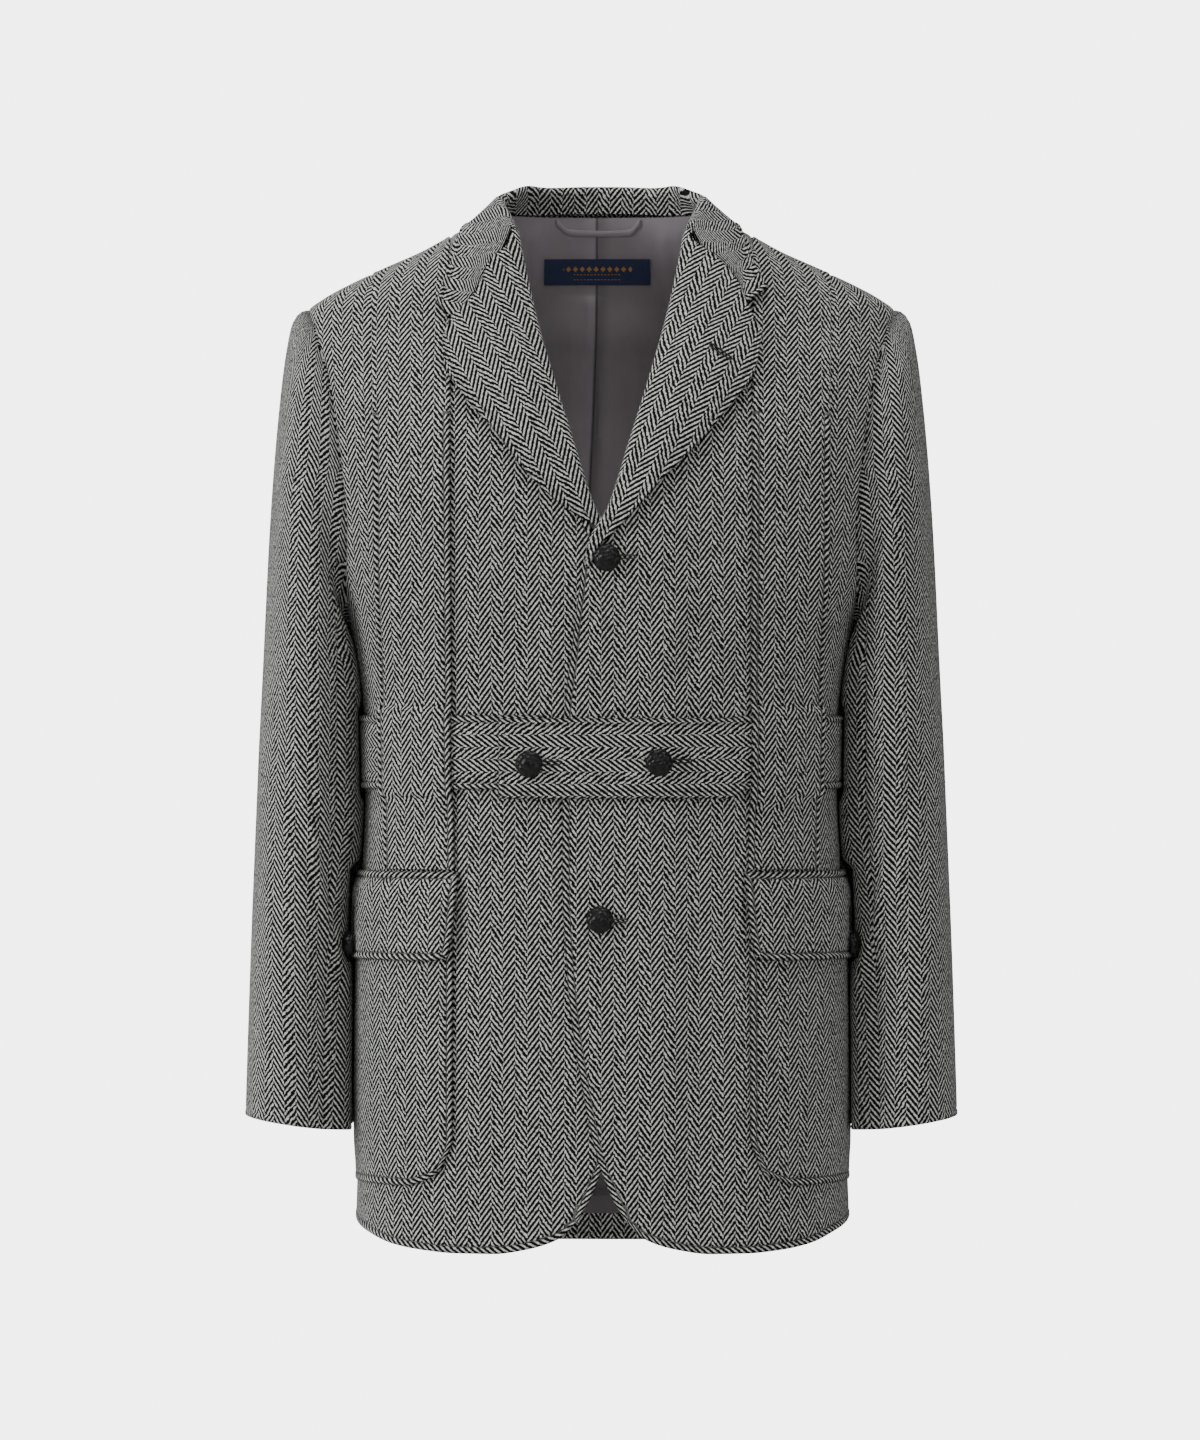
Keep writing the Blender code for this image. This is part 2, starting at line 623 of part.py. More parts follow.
def pocket_swell(flat):
    """How far the pocket's bag stands away between its sewn edges."""
    across = np.sin(math.pi * np.clip(flat[..., 0] / POCKET_WIDTH, 0.0, 1.0))
    share = (flat[..., 1] - POCKET_BOTTOM) / (POCKET_TOP - POCKET_BOTTOM)
    return POCKET_SWELL * across ** 0.6 * ramp(0.0, 0.35, share)


def flap_height(flat):
    """The flap's outer face: over the pocket, and down on the jacket at its top."""
    over_pocket = 1.0 - ramp(POCKET_TOP, FLAP_TOP, flat[..., 1])
    pocket_face = POCKET_LIFT + CLOTH + pocket_swell(flat)
    return LIFT + CLOTH + over_pocket * (pocket_face + 3.0 * TOUCH - LIFT)


def rolled(fold_in, outward, normal, fall, leg, base=0.0):
    """A fold's cross-sections: a short inner leg, a half round, then the fall."""
    bends = np.linspace(0.0, math.pi, 5)
    columns = [fold_in - outward * leg + normal * (ROLL_CENTRE - ROLL_RADIUS + base)]
    for bend in bends:
        columns.append(fold_in + outward * ROLL_RADIUS * math.sin(bend)
                       + normal * (ROLL_CENTRE - ROLL_RADIUS * math.cos(bend) + base))
    return np.concatenate([np.stack(columns, axis=1), fall], axis=1)


def fold_frame(line, toward):
    """The torso's normal and the in-cloth direction past a fold line."""
    normal = body_normal(line)
    run = np.gradient(line, axis=0)
    outward = np.cross(run, normal)
    outward /= np.linalg.norm(outward, axis=1, keepdims=True)
    flip = np.sign(np.sum(outward * np.asarray(toward), axis=1, keepdims=True))
    return normal, outward * flip


def gorge_line(side, cells):
    """The seam between lapel and collar, from the fold to the notch."""
    fold_end = at_front(edge_distance(FOLD_TOP) + ROLL_RADIUS, FOLD_TOP)
    points = [at_front(x, z) for x, z in GORGE[side]]
    return thread(np.array([fold_end] + points), cells)


def make_lapels():
    """The lapels, rolled over the fronts' upper edges."""
    rows, columns = 11, GORGE_CELLS + 2
    for side, name in ((1, "lapel_left"), (-1, "lapel_right")):
        heights = np.linspace(BREAK[side], FOLD_TOP, rows + 1)
        roll = at_front(edge_distance(heights), heights)
        normal, outward = fold_frame(roll, (-1.0, 0.0, 0.0))
        fold_in = on_body(roll - outward * ROLL_RADIUS)
        edge = thread([at_front(x, z) for x, z in LAPEL_EDGE[side]], rows)
        gorge = gorge_line(side, GORGE_CELLS)
        top = np.concatenate([gorge, thread([gorge[-1], edge[-1]], 2)[1:]])
        bottom = thread([fold_in[0], edge[0]], columns)
        flat = on_body(patch(bottom, top, fold_in, edge))[:, 1:]
        base = lap_height(flat) if side > 0 else 0.0 * flat[..., 0]
        spread = np.linalg.norm(flat - fold_in[:, None], axis=-1)
        ease = ramp(0.0, 0.03, spread)
        rise = ROLL_CENTRE + ROLL_RADIUS + (LAPEL_LIFT - ROLL_CENTRE - ROLL_RADIUS) * ease
        fall = moved_out(flat, rise + base)
        fold_base = lap_height(fold_in)[:, None] if side > 0 else 0.0
        grid = seam_allowance(rolled(fold_in, outward, normal, fall, LAPEL_LEG, fold_base), ("top",))
        folded(name, grid, (0.0, -1.0, 0.0), side)


def neck_line(half, count):
    """A curve round the neck from its half, the wearer's left end to the right."""
    half = np.asarray(half, float)
    whole = np.concatenate([half, mirrored(half[-2::-1], -1)])
    return on_body(thread(whole, count))


def folded(name, grid, outward, side=1):
    """A sheet rolled over an edge; its fall's outer face looks outward."""
    normal = grid_normals(grid)
    if np.dot(normal[len(grid) // 2, -2], outward) < 0.0:
        normal = -normal
    inner = grid - normal * CLOTH
    return shell(name, mirrored(grid, side), mirrored(inner, side))


def make_collar():
    """The collar's stand and, folded over it, its leaf."""
    count, columns = 20, GORGE_CELLS + 1
    fold = neck_line(FOLD, count)
    normal, outward = fold_frame(fold, (0.0, 0.0, 1.0))
    fold_in = on_body(fold - outward * ROLL_RADIUS)
    flat = collar_flat(fold_in)
    share = np.linspace(0.0, 1.0, columns + 1)[None, 1:]
    rise = ROLL_CENTRE + ROLL_RADIUS + (LAPEL_LIFT - ROLL_CENTRE - ROLL_RADIUS) * share
    behind = ramp(0.0, 0.14, np.abs(np.linspace(-0.5, 0.5, count + 1)))[:, None]
    bulge = 0.0016 * np.sin(math.pi * share) * behind
    fall = moved_out(flat[:, 1:], rise + bulge)
    grid = rolled(fold_in, outward, normal, fall, COLLAR_LEG)
    folded("collar_leaf", seam_allowance(grid, ("bottom", "top")), (0.0, 1.0, 0.0))

    seam = [(0.0600, -0.046, 0.0062), (0.0705, -0.028, 0.0150), (NECK_POINT[0], 0.0, 0.0238)]
    seam += [(0.0700, 0.038, 0.0240), (0.0420, 0.068, 0.0238), (0.0, 0.080, 0.0236)]
    lower = neck_line(seam, count)
    upper = on_body(fold_in - outward * 0.0006)
    laid("collar_stand", on_body(np.stack([lower, (lower + upper) / 2.0, upper]))[:, 3:-3], 0.0)


def collar_flat(fold_in):
    """The collar leaf's points on the torso, from the fold to its edge."""
    count = len(fold_in) - 1
    ends = {}
    for side in (1, -1):
        gorge = gorge_line(side, GORGE_CELLS)
        tip = at_front(*COLLAR_TIP[side])
        ends[side] = mirrored(np.concatenate([gorge, [tip]]), side)
    half = [np.array(COLLAR_EDGE)]
    whole = np.concatenate([[ends[1][-1]], half[0], mirrored(half[0][-2::-1], -1),
                            [ends[-1][-1]]])
    edge = on_body(thread(whole, count))
    start, finish = ends[1].copy(), ends[-1].copy()
    start[0], finish[0] = fold_in[0], fold_in[-1]
    return np.swapaxes(relaxed(patch(fold_in, edge, start, finish)), 0, 1)


def sleeve_rings():
    """The sleeve's outer face, from the armhole to the cuff, as whole rings."""
    angles = np.linspace(0.0, 2.0 * math.pi, RING_CELLS + 1)
    loop = armhole(angles)
    rings = [loop + (0.0008, 0.0, 0.0)]
    join = (0.0, 0.35, 0.65, 0.88, 1.0)
    for step, (crown_x, crown_z, pit_x, pit_z, depth, shift) in enumerate(SLEEVE):
        crown, pit = np.array([crown_x, 0.0, crown_z]), np.array([pit_x, 0.0, pit_z])
        ring = ((crown + pit) / 2.0 + np.outer(np.cos(angles), (crown - pit) / 2.0)
                + np.outer(np.sin(angles), (0.0, -depth, 0.0)) + (0.0, shift, 0.0))
        blend = join[min(step + 1, len(join) - 1)]
        reach = (crown_x - SLEEVE[0][0] + 0.004) * (0.65 + 0.35 * np.cos(angles))
        away = loop + np.outer(reach, (1.0, 0.0, 0.0))
        rings.append((1.0 - blend) * away + blend * ring)
    return np.stack(rings)


def make_sleeves():
    """Two-piece sleeves, hung from the armholes and open at the cuffs."""
    rings = sleeve_rings()
    wrapped = np.concatenate([rings[:, -2:-1], rings, rings[:, 1:2]], axis=1)
    normal = grid_normals(wrapped)[:, 1:-1]
    away = rings - rings[:, :-1].mean(axis=1, keepdims=True)
    normal = normal * np.sign(np.sum(normal * away, axis=-1))[..., None].mean(axis=1, keepdims=True)
    normal /= np.linalg.norm(normal, axis=-1, keepdims=True)
    round_twice = np.concatenate([rings[:, :-1], rings], axis=1)
    normal_twice = np.concatenate([normal[:, :-1], normal], axis=1)
    pieces = {"under": slice(SEAM_CELL, RING_CELLS - SEAM_CELL + 1),
              "top": slice(RING_CELLS - SEAM_CELL, RING_CELLS + SEAM_CELL + 1)}
    for piece, cells in pieces.items():
        outer = seam_allowance(round_twice[:, cells], ("left", "right", "left", "right"))
        inner = outer - normal_twice[:, cells] * CLOTH
        for side, hand in ((1, "left"), (-1, "right")):
            shell(f"sleeve_{piece}_{hand}", mirrored(outer, side), mirrored(inner, side))


def button(name, seat, normal):
    """A covered leather button: a low dome on a narrow foot."""
    profile = ((0.0, 1.0), (0.45, 0.92), (0.80, 0.66), (1.0, 0.36), (0.92, 0.12),
               (0.60, 0.0), (0.0, 0.0))
    mesh = bpy.data.meshes.new(name)
    points = [(r * BUTTON_RADIUS, 0.0, h * BUTTON_HEIGHT) for r, h in profile]
    mesh.from_pydata(points, [(i, i + 1) for i in range(len(points) - 1)], [])
    thing = bpy.data.objects.new(name, mesh)
    bpy.context.scene.collection.objects.link(thing)
    turn = thing.modifiers.new("turned", "SCREW")
    turn.axis = "Z"
    turn.angle = 2.0 * math.pi
    turn.steps = turn.render_steps = 12
    turn.use_merge_vertices = True
    turn.merge_threshold = 0.00001
    turn.use_smooth_shade = True
    across = np.cross((0.0, 0.0, 1.0), normal)
    across /= np.linalg.norm(across)
    up = np.cross(normal, across)
    frame = np.eye(4)
    frame[:3, 0], frame[:3, 1], frame[:3, 2], frame[:3, 3] = across, up, normal, seat
    thing.matrix_world = Matrix(frame.tolist())
    return keep(thing, name, "leather")


def make_buttons():
    """The front's, the belt's and the flaps' buttons."""
    for name, x, z, height in BUTTONS:
        spot = at_front(x, z)
        normal = body_normal(spot)
        button(name, spot + normal * (height + BUTTON_GAP), normal)
    flat = np.array([FLAP_BUTTON_REACH, FLAP_BUTTON_HEIGHT])
    spot = around(flat[0], flat[1])
    normal = body_normal(spot)
    seat = spot + normal * (flap_height(flat) + TOUCH)
    for side, hand in ((1, "left"), (-1, "right")):
        button(f"button_flap_{hand}", mirrored(seat, side), mirrored(normal, side))


def make_neck_trim():
    """The woven label and the hanger loop inside the back of the neck."""
    depth = -(CLOTH + LINING_LIFT + LINING_CLOTH + TRIM_LIFT)
    (left, low), (right, high) = LABEL
    label = at_front(np.linspace(left, right, 9)[None, :], np.linspace(low, high, 3)[:, None], 1.0)
    laid("neck_label", label, depth, kind="label", thickness=TRIM_CLOTH)
    line = thread(LOOP, 8)
    low = at_front(line[:, 0], line[:, 1] - LOOP_WIDTH / 2.0, 1.0)
    high = at_front(line[:, 0], line[:, 1] + LOOP_WIDTH / 2.0, 1.0)
    laid("hanger_loop", np.stack([low, high]), depth, kind="lining", thickness=TRIM_CLOTH)


def main():
    """Build the whole jacket."""
    clear_scene()
    home = bpy.data.collections.new("norfolk_jacket")
    bpy.context.scene.collection.children.link(home)
    make_fronts()
    make_back()
    make_straps()
    make_belt()
    make_pockets()
    make_lapels()
    make_collar()
    make_sleeves()
    make_buttons()
    make_neck_trim()


main()
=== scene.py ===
# %% [markdown]
# # A norfolk jacket in herringbone tweed
# The jacket is filled out as if someone wore it, but nothing is inside. It could be
# draped over a body with the cloth solver. Tailored tweed is pressed and padded, so
# it keeps the shape that it was cut to, and here each panel is a sheet of points
# laid on one smooth torso. What lies on a panel then follows the panel.

# %% Load the fixed frame
import math

import bpy
import numpy as np
from mathutils import Matrix, Vector


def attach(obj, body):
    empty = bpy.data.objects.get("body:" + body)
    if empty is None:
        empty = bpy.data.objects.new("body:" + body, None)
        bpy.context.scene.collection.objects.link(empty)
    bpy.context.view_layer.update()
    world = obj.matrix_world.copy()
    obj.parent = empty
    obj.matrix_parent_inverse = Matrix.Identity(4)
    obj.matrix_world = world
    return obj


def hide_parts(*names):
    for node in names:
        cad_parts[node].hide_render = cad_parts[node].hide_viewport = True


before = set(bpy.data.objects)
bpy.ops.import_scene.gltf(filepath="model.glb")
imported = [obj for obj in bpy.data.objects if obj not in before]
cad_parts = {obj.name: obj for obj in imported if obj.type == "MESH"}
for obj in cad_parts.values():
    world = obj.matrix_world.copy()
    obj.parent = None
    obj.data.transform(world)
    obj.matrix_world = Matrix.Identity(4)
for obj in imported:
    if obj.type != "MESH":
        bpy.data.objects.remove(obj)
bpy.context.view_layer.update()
print("solids in the frame:", len(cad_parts))

# %% [markdown]
# ## Measurements
# These are the jacket's own sizes, in metres, in the frame of the solids: +X is the
# wearer's left, the fronts face -Y, and the origin is between the shoulders.

# %% Cloth sizes
# thickness of each cloth
CLOTH = 0.0018
LINING_CLOTH = 0.0010
TRIM_CLOTH = 0.0008
BELT_CLOTH = 0.0020

# the air between a piece's underside and the cloth below it
LINING_LIFT = 0.0009
LIFT = 0.0014
POCKET_LIFT = 0.0010
TOUCH = 0.0004

# how far the overlapping front stands off, and the strap's end off the shoulder's ridge
LAP = 0.0034
SEAM = 0.0004

# the round fold of lapels and collar, what lies under it, and how high a lapel lies
ROLL_RADIUS = 0.0046
ROLL_CENTRE = -0.0006
ROLL_TOP = ROLL_CENTRE + ROLL_RADIUS
LAPEL_LEG = 0.007
COLLAR_LEG = 0.003
LAPEL_LIFT = 0.0066

# the photograph's camera: its distance and height, its focal length and middle in
# pixels, the picture's rows, and how far forward the front lies
CAMERA_AWAY = 5.0
CAMERA_HEIGHT = -0.349
FOCAL_PIXELS = 6880.0
PHOTO_MIDDLE = (601.0, 720.0)
PHOTO_ROWS = 1440.0
FRONT_DEPTH = 0.12

# the wearer's two sides: the sign of x, and what the side is called
SIDES = ((1, "left"), (-1, "right"))
UPWARD = (0.0, 0.0, 1.0)
print("tweed thickness, mm:", CLOTH * 1000)

# %% Body and pattern tables
# height, half width at the side, depth to the front, depth to the back, squareness
BODY = (
    (-0.745, 0.1800, 0.128, 0.129, 2.45),
    (-0.650, 0.1775, 0.128, 0.129, 2.45),
    (-0.550, 0.1755, 0.125, 0.126, 2.45),
    (-0.457, 0.1735, 0.119, 0.118, 2.40),
    (-0.400, 0.1715, 0.1170, 0.110, 2.40),
    (-0.345, 0.1730, 0.1175, 0.108, 2.40),
    (-0.310, 0.1775, 0.1195, 0.111, 2.40),
    (-0.283, 0.1830, 0.122, 0.115, 2.40),
    (-0.245, 0.1950, 0.125, 0.121, 2.40),
    (-0.195, 0.2030, 0.125, 0.125, 2.40),
    (-0.158, 0.2100, 0.120, 0.126, 2.40),
    (-0.129, 0.2160, 0.112, 0.124, 2.30),
    (-0.100, 0.2200, 0.101, 0.118, 2.20),
    (-0.080, 0.2210, 0.090, 0.112, 2.20),
    (-0.065, 0.2190, 0.082, 0.106, 2.10),
    (-0.052, 0.2140, 0.076, 0.102, 2.10),
    (-0.044, 0.2040, 0.073, 0.100, 2.05),
    (-0.032, 0.1820, 0.069, 0.096, 2.00),
    (-0.020, 0.1550, 0.065, 0.092, 2.00),
    (-0.009, 0.1300, 0.0615, 0.088, 2.00),
    (0.003, 0.1085, 0.058, 0.0845, 2.00),
    (0.009, 0.0970, 0.0565, 0.083, 2.00),
    (0.015, 0.0885, 0.0555, 0.0815, 2.00),
    (0.0225, 0.0795, 0.055, 0.080, 2.00),
    (0.029, 0.0730, 0.055, 0.079, 2.00),
    (0.035, 0.0675, 0.0545, 0.0785, 2.00),
    (0.0405, 0.0620, 0.054, 0.078, 2.00),
    (0.055, 0.0520, 0.053, 0.077, 2.00),
)

ARMHOLE_TOP = -0.0512
ARMPIT = -0.283
ARMHOLE_DEPTH = (0.066, 0.069)
HEM_SIDE = -0.706
HEM_BACK = -0.736
NECK_POINT = (0.0797, 0.0, 0.0222)
NECK_BACK = 0.0217
SIDE_SEAM_BACK = 0.030

# height and distance from the centre line: the front edge, then the roll line
FRONT_EDGE = (
    (-0.704, 0.0170), (-0.6885, 0.0080), (-0.6655, -0.0010), (-0.652, -0.0035),
    (-0.613, -0.0130), (-0.564, -0.0200), (-0.515, -0.0260), (-0.450, -0.0280),
    (-0.408, -0.0300), (-0.343, -0.0250), (-0.297, -0.0205), (-0.267, -0.0170),
    (-0.245, -0.0135), (-0.222, -0.0090), (-0.199, 0.0037), (-0.147, 0.0205),
    (-0.105, 0.0335), (-0.052, 0.0480), (0.006, 0.0600), (0.014, 0.0615),
)
FRONT_HEM = ((0.017, -0.704), (0.0276, -0.715), (0.048, -0.7235), (0.088, -0.7285),
             (0.127, -0.7265), (0.150, -0.7230), (0.168, -0.7165))
EDGE_ROWS = (-0.704, -0.6885, -0.6655, -0.613, -0.540, -0.460, -0.370, -0.290, -0.2235)
NECK_ROW = (0.0725, -0.028, 0.0125)
ROLL_ROWS = (-0.2125, -0.190, -0.163, -0.134, -0.104, -0.072, -0.037, 0.001)
SIDE_ROWS = (HEM_SIDE, -0.677, -0.625, -0.565, -0.500, -0.435, -0.375, -0.325, ARMPIT)
ARMHOLE_CELLS = 10
SHOULDER_CELLS = 5
NECK_CELLS = 8
FRONT_CELLS = 10
GORGE_CELLS = 4
FOLD_TOP = 0.0045

# x and height of the lapel's outer edge from its foot to its tip, on each side
LAPEL_EDGE = {
    1: ((0.0065, -0.2125), (0.044, -0.178), (0.064, -0.1585), (0.088, -0.131),
        (0.1095, -0.099), (0.114, -0.075)),
    -1: ((0.0095, -0.2125), (0.029, -0.196), (0.0504, -0.177), (0.0746, -0.1457),
         (0.096, -0.1216), (0.1115, -0.094), (0.1125, -0.0775)),
}
GORGE = {
    1: ((0.0638, -0.0015), (0.079, -0.0165), (0.0955, -0.0356), (0.103, -0.052)),
    -1: ((0.0638, -0.0030), (0.0785, -0.0215), (0.0890, -0.0442), (0.106, -0.0626)),
}
COLLAR_TIP = {1: (0.119, -0.041), -1: (0.117, -0.051)}

# x, y and height along the collar's fold and its outer edge, front to centre back
FOLD = ((0.0605, -0.044, 0.0060), (0.0650, -0.026, 0.0185), (0.0690, 0.000, 0.0300),
        (0.0640, 0.030, 0.0385), (0.0500, 0.054, 0.0425), (0.0270, 0.072, 0.0440),
        (0.0, 0.0780, 0.0445))
COLLAR_EDGE = ((0.108, -0.050, -0.018), (0.0975, 0.000, 0.0085), (0.086, 0.045, -0.001),
               (0.052, 0.074, -0.009), (0.0, 0.0885, -0.0125))

BELT_TOP = -0.3455
BELT_BOTTOM = -0.3985
BELT_START = 0.042
BELT_END = 0.073
BELT_LAP = 0.0048
STRAP_BOTTOM = -0.4555
STRAP_BEND = -0.100

# height, then the strap's inner and outer edge, x at the front and at the back
STRAPS = (
    (-0.7300, 0.1030, 0.1545, 0.0800, 0.1330),
    (-0.4555, 0.1035, 0.1545, 0.0745, 0.1265),
    (-0.3800, 0.1045, 0.1555, 0.0745, 0.1270),
    (-0.2500, 0.1060, 0.1600, 0.0810, 0.1345),
    (-0.1300, 0.1070, 0.1630, 0.0930, 0.1470),
    (-0.0600, 0.1085, 0.1650, 0.1040, 0.1590),
    (0.0000, 0.1100, 0.1660, 0.1100, 0.1660),
)
FLAP_TOP = -0.4570
FLAP_DROP = 0.064
POCKET_TOP = -0.474
POCKET_BOTTOM = -0.681
POCKET_WIDTH = 0.200
POCKET_INNER = 0.1045
POCKET_SWELL = 0.0016
POCKET_CORNER = 0.036
FLAP_CORNER = 0.007
FLAP_OVERHANG = 0.001
BUTTON_RADIUS = 0.0096
BUTTON_HEIGHT = 0.0085
BUTTON_GAP = 0.0007
TAB_DROP = 0.0065
TAB_SLANT = 0.0020

# x and height of each fastening button, and how far out its seat lies
BUTTONS = (
    ("button_front_top", 0.004, -0.234, LAP),
    ("button_front_bottom", -0.001, -0.491, LAP),
    ("button_belt_outer", -0.050, -0.380, BELT_LAP + BELT_CLOTH),
    ("button_belt_inner", 0.040, -0.379, BELT_LAP + BELT_CLOTH),
)
FLAP_BUTTON_REACH = 0.104
FLAP_BUTTON_HEIGHT = -0.511

# inside the back of the neck: the label's lower left and upper right, the loop's line
LABEL = ((-0.043, -0.0255), (0.037, -0.0070))
LOOP = ((-0.0350, 0.0195), (-0.0240, 0.0120), (0.0, 0.0110), (0.0215, 0.0120),
        (0.0300, 0.0195))
LOOP_WIDTH = 0.0044

# outer edge x and height, inner edge x and height, half depth, forward shift
SLEEVE = (
    (0.2195, -0.0565, 0.1860, -0.2835, 0.068, 0.000),
    (0.2250, -0.0660, 0.1875, -0.2870, 0.070, 0.000),
    (0.2295, -0.0880, 0.1870, -0.2950, 0.071, 0.000),
    (0.2345, -0.1270, 0.1810, -0.3100, 0.072, 0.001),
    (0.2385, -0.1720, 0.1777, -0.3300, 0.072, 0.003),
    (0.2420, -0.2250, 0.1772, -0.3560, 0.072, 0.005),
    (0.2450, -0.2850, 0.1768, -0.3900, 0.071, 0.007),
    (0.2475, -0.3400, 0.1765, -0.4240, 0.070, 0.008),
    (0.2502, -0.3950, 0.1805, -0.4600, 0.068, 0.008),
    (0.2525, -0.4500, 0.1840, -0.4980, 0.066, 0.006),
    (0.2543, -0.5000, 0.1845, -0.5350, 0.064, 0.002),
    (0.2558, -0.5500, 0.1850, -0.5720, 0.062, -0.003),
    (0.2570, -0.5950, 0.1855, -0.6080, 0.060, -0.008),
    (0.2580, -0.6350, 0.1855, -0.6450, 0.058, -0.012),
)
RING_CELLS = 2 * ARMHOLE_CELLS
SEAM_CELL = 7

print("rows of the body table:", len(BODY))

# %% [markdown]
# ## Curves
# A plain spline swings past its points where they change pace. This one holds its
# slope to zero at every turn of the values, so a seam never bulges between points.

# %% Steady curves
def steady_curve(xs, ys, at):
    """Smooth values at places, through rows of ys at xs, never past their range."""
    xs, ys, at = np.asarray(xs, float), np.asarray(ys, float), np.asarray(at, float)
    ys = ys.reshape(len(xs), -1)
    step = np.diff(xs)[:, None]
    slope = np.diff(ys, axis=0) / step
    same = slope[:-1] * slope[1:] > 0.0
    weight_a = 2.0 * step[1:] + step[:-1]
    weight_b = step[1:] + 2.0 * step[:-1]
    mean = (weight_a + weight_b) / (weight_a / np.where(same, slope[:-1], 1.0)
                                    + weight_b / np.where(same, slope[1:], 1.0))
    bend = np.zeros_like(ys)
    bend[1:-1] = np.where(same, mean, 0.0)
    bend[0], bend[-1] = slope[0], slope[-1]
    place = np.clip(np.searchsorted(xs, at) - 1, 0, len(xs) - 2)
    width = step[place]
    t = np.clip((at - xs[place])[..., None] / width, 0.0, 1.0)
    keep = (1.0 + 2.0 * t) * (1.0 - t) ** 2
    return (keep * ys[place] + (1.0 - keep) * ys[place + 1]
            + t * (1.0 - t) ** 2 * width * bend[place]
            - t ** 2 * (1.0 - t) * width * bend[place + 1])


def ramp(low, high, value):
    """0 at low, 1 at high, and smooth between."""
    t = np.clip((np.asarray(value, float) - low) / (high - low), 0.0, 1.0)
    return t * t * (3.0 - 2.0 * t)


def bell(x):
    """A soft bump, 1 at 0."""
    return np.exp(-np.square(x))


def thread(points, cells, power=1.0):
    """A smooth curve through points, cut into equal cells or at given shares."""
    points = np.asarray(points, float)
    length = np.concatenate([[0.0], np.cumsum(np.linalg.norm(np.diff(points, axis=0), axis=1))])
    curve = steady_curve(length, points, np.linspace(0.0, length[-1], 240))
    run = np.concatenate([[0.0], np.cumsum(np.linalg.norm(np.diff(curve, axis=0), axis=1))])
    share = np.linspace(0.0, 1.0, cells + 1) ** power if np.isscalar(cells) else cells
    return np.stack([np.interp(run[-1] * share, run, axis) for axis in curve.T], 1)


print("half way up a ramp:", float(ramp(0.0, 1.0, 0.5)))

# %% [markdown]
# ## The torso
# Each height has a half width, two depths and a squareness, which make a rounded
# rectangle. Points slide to that surface along its slope, as a foot finds a hill.

# %% The torso as a surface
BODY_TABLE = np.array(BODY)


def body_row(z):
    """Half width, front depth, back depth and squareness at each height."""
    return np.moveaxis(steady_curve(BODY_TABLE[:, 0], BODY_TABLE[:, 1:], z), -1, 0)


def body_field(p):
    """Zero on the torso, negative inside it."""
    width, front, back, power = body_row(p[..., 2])
    depth = np.where(p[..., 1] < 0.0, front, back)
    total = np.abs(p[..., 0] / width) ** power + np.abs(p[..., 1] / depth) ** power
    return np.maximum(total, 1e-12) ** (1.0 / power) - 1.0


def body_slope(p):
    """The gradient of the field, by central differences."""
    small = 2e-5
    parts = [body_field(p + small * axis) - body_field(p - small * axis) for axis in np.eye(3)]
    return np.stack(parts, axis=-1) / (2.0 * small)


def on_body(points, turns=12):
    """Move points to the torso along its slope."""
    p = np.array(points, float)
    for _ in range(turns):
        slope = body_slope(p)
        p = p - body_field(p)[..., None] * slope / np.sum(slope * slope, axis=-1, keepdims=True)
    return p


def body_normal(p):
    """The outward direction of the torso at points on it."""
    slope = body_slope(p)
    return slope / np.linalg.norm(slope, axis=-1, keepdims=True)


def ring(turn, z):
    """The x and y of the torso's outline at a height, in each direction."""
    width, front, back, power = body_row(z)
    depth = np.where(np.sin(turn) < 0.0, front, back)
    reach = (np.abs(np.cos(turn) / width) ** power
             + np.abs(np.sin(turn) / depth) ** power) ** (-1.0 / power)
    return reach * np.cos(turn), reach * np.sin(turn)


def at_front(x, z, face=-1.0):
    """The point of the torso's front, or of its back, at x and z."""
    x, z = np.broadcast_arrays(np.asarray(x, float), np.asarray(z, float))
    width, front, back, power = body_row(z)
    depth = front if face < 0.0 else back
    share = np.clip(1.0 - np.abs(x / width) ** power, 0.0, 1.0)
    return np.stack([x, face * depth * share ** (1.0 / power), z], axis=-1)


def ridge_height(x):
    """Height of the shoulder's ridge at a distance from the centre."""
    heights = np.linspace(0.055, ARMHOLE_TOP, 200)
    return np.interp(x, body_row(heights)[0], heights)


print("chest half width at the armpit:", round(float(body_row(ARMPIT)[0]), 4))

# %% [markdown]
# ## Sheets of points
# A panel starts coarse, with its edges drawn as curves and its inside blended from
# them and evened out. It is then read between its points, with rows crowded at a
# finished edge, because the turned edge and its stitch groove are a few mm wide.

# %% Patches and fine sheets
EDGE_STEPS_MM = (0.0, 0.25, 0.55, 0.9, 1.4, 2.0, 2.7, 3.3, 3.9, 4.4, 4.9, 5.5, 6.5, 8.0)
EDGE_STEPS = np.array(EDGE_STEPS_MM) / 1000


def patch(bottom, top, left, right, v=None, u=None):
    """Points inside four meeting edges, blended from them, as [row, column].

    The edges' own points lie at the shares v and u, or else at even ones.
    """
    v = np.linspace(0.0, 1.0, len(left)) if v is None else v
    u = np.linspace(0.0, 1.0, len(bottom)) if u is None else u
    u, v = u[None, :, None], v[:, None, None]
    corners = ((1.0 - u) * (1.0 - v) * bottom[0] + u * (1.0 - v) * bottom[-1]
               + (1.0 - u) * v * top[0] + u * v * top[-1])
    return ((1.0 - u) * left[:, None] + u * right[:, None]
            + (1.0 - v) * bottom[None] + v * top[None] - corners)


def relaxed(grid):
    """Even out the points inside a patch and lay them back on the torso."""
    grid = on_body(grid)
    for turn in range(60):
        grid[1:-1, 1:-1] = 0.25 * (grid[:-2, 1:-1] + grid[2:, 1:-1]
                                   + grid[1:-1, :-2] + grid[1:-1, 2:])
        if turn % 6 == 5:
            grid[1:-1, 1:-1] = on_body(grid[1:-1, 1:-1])
    return grid


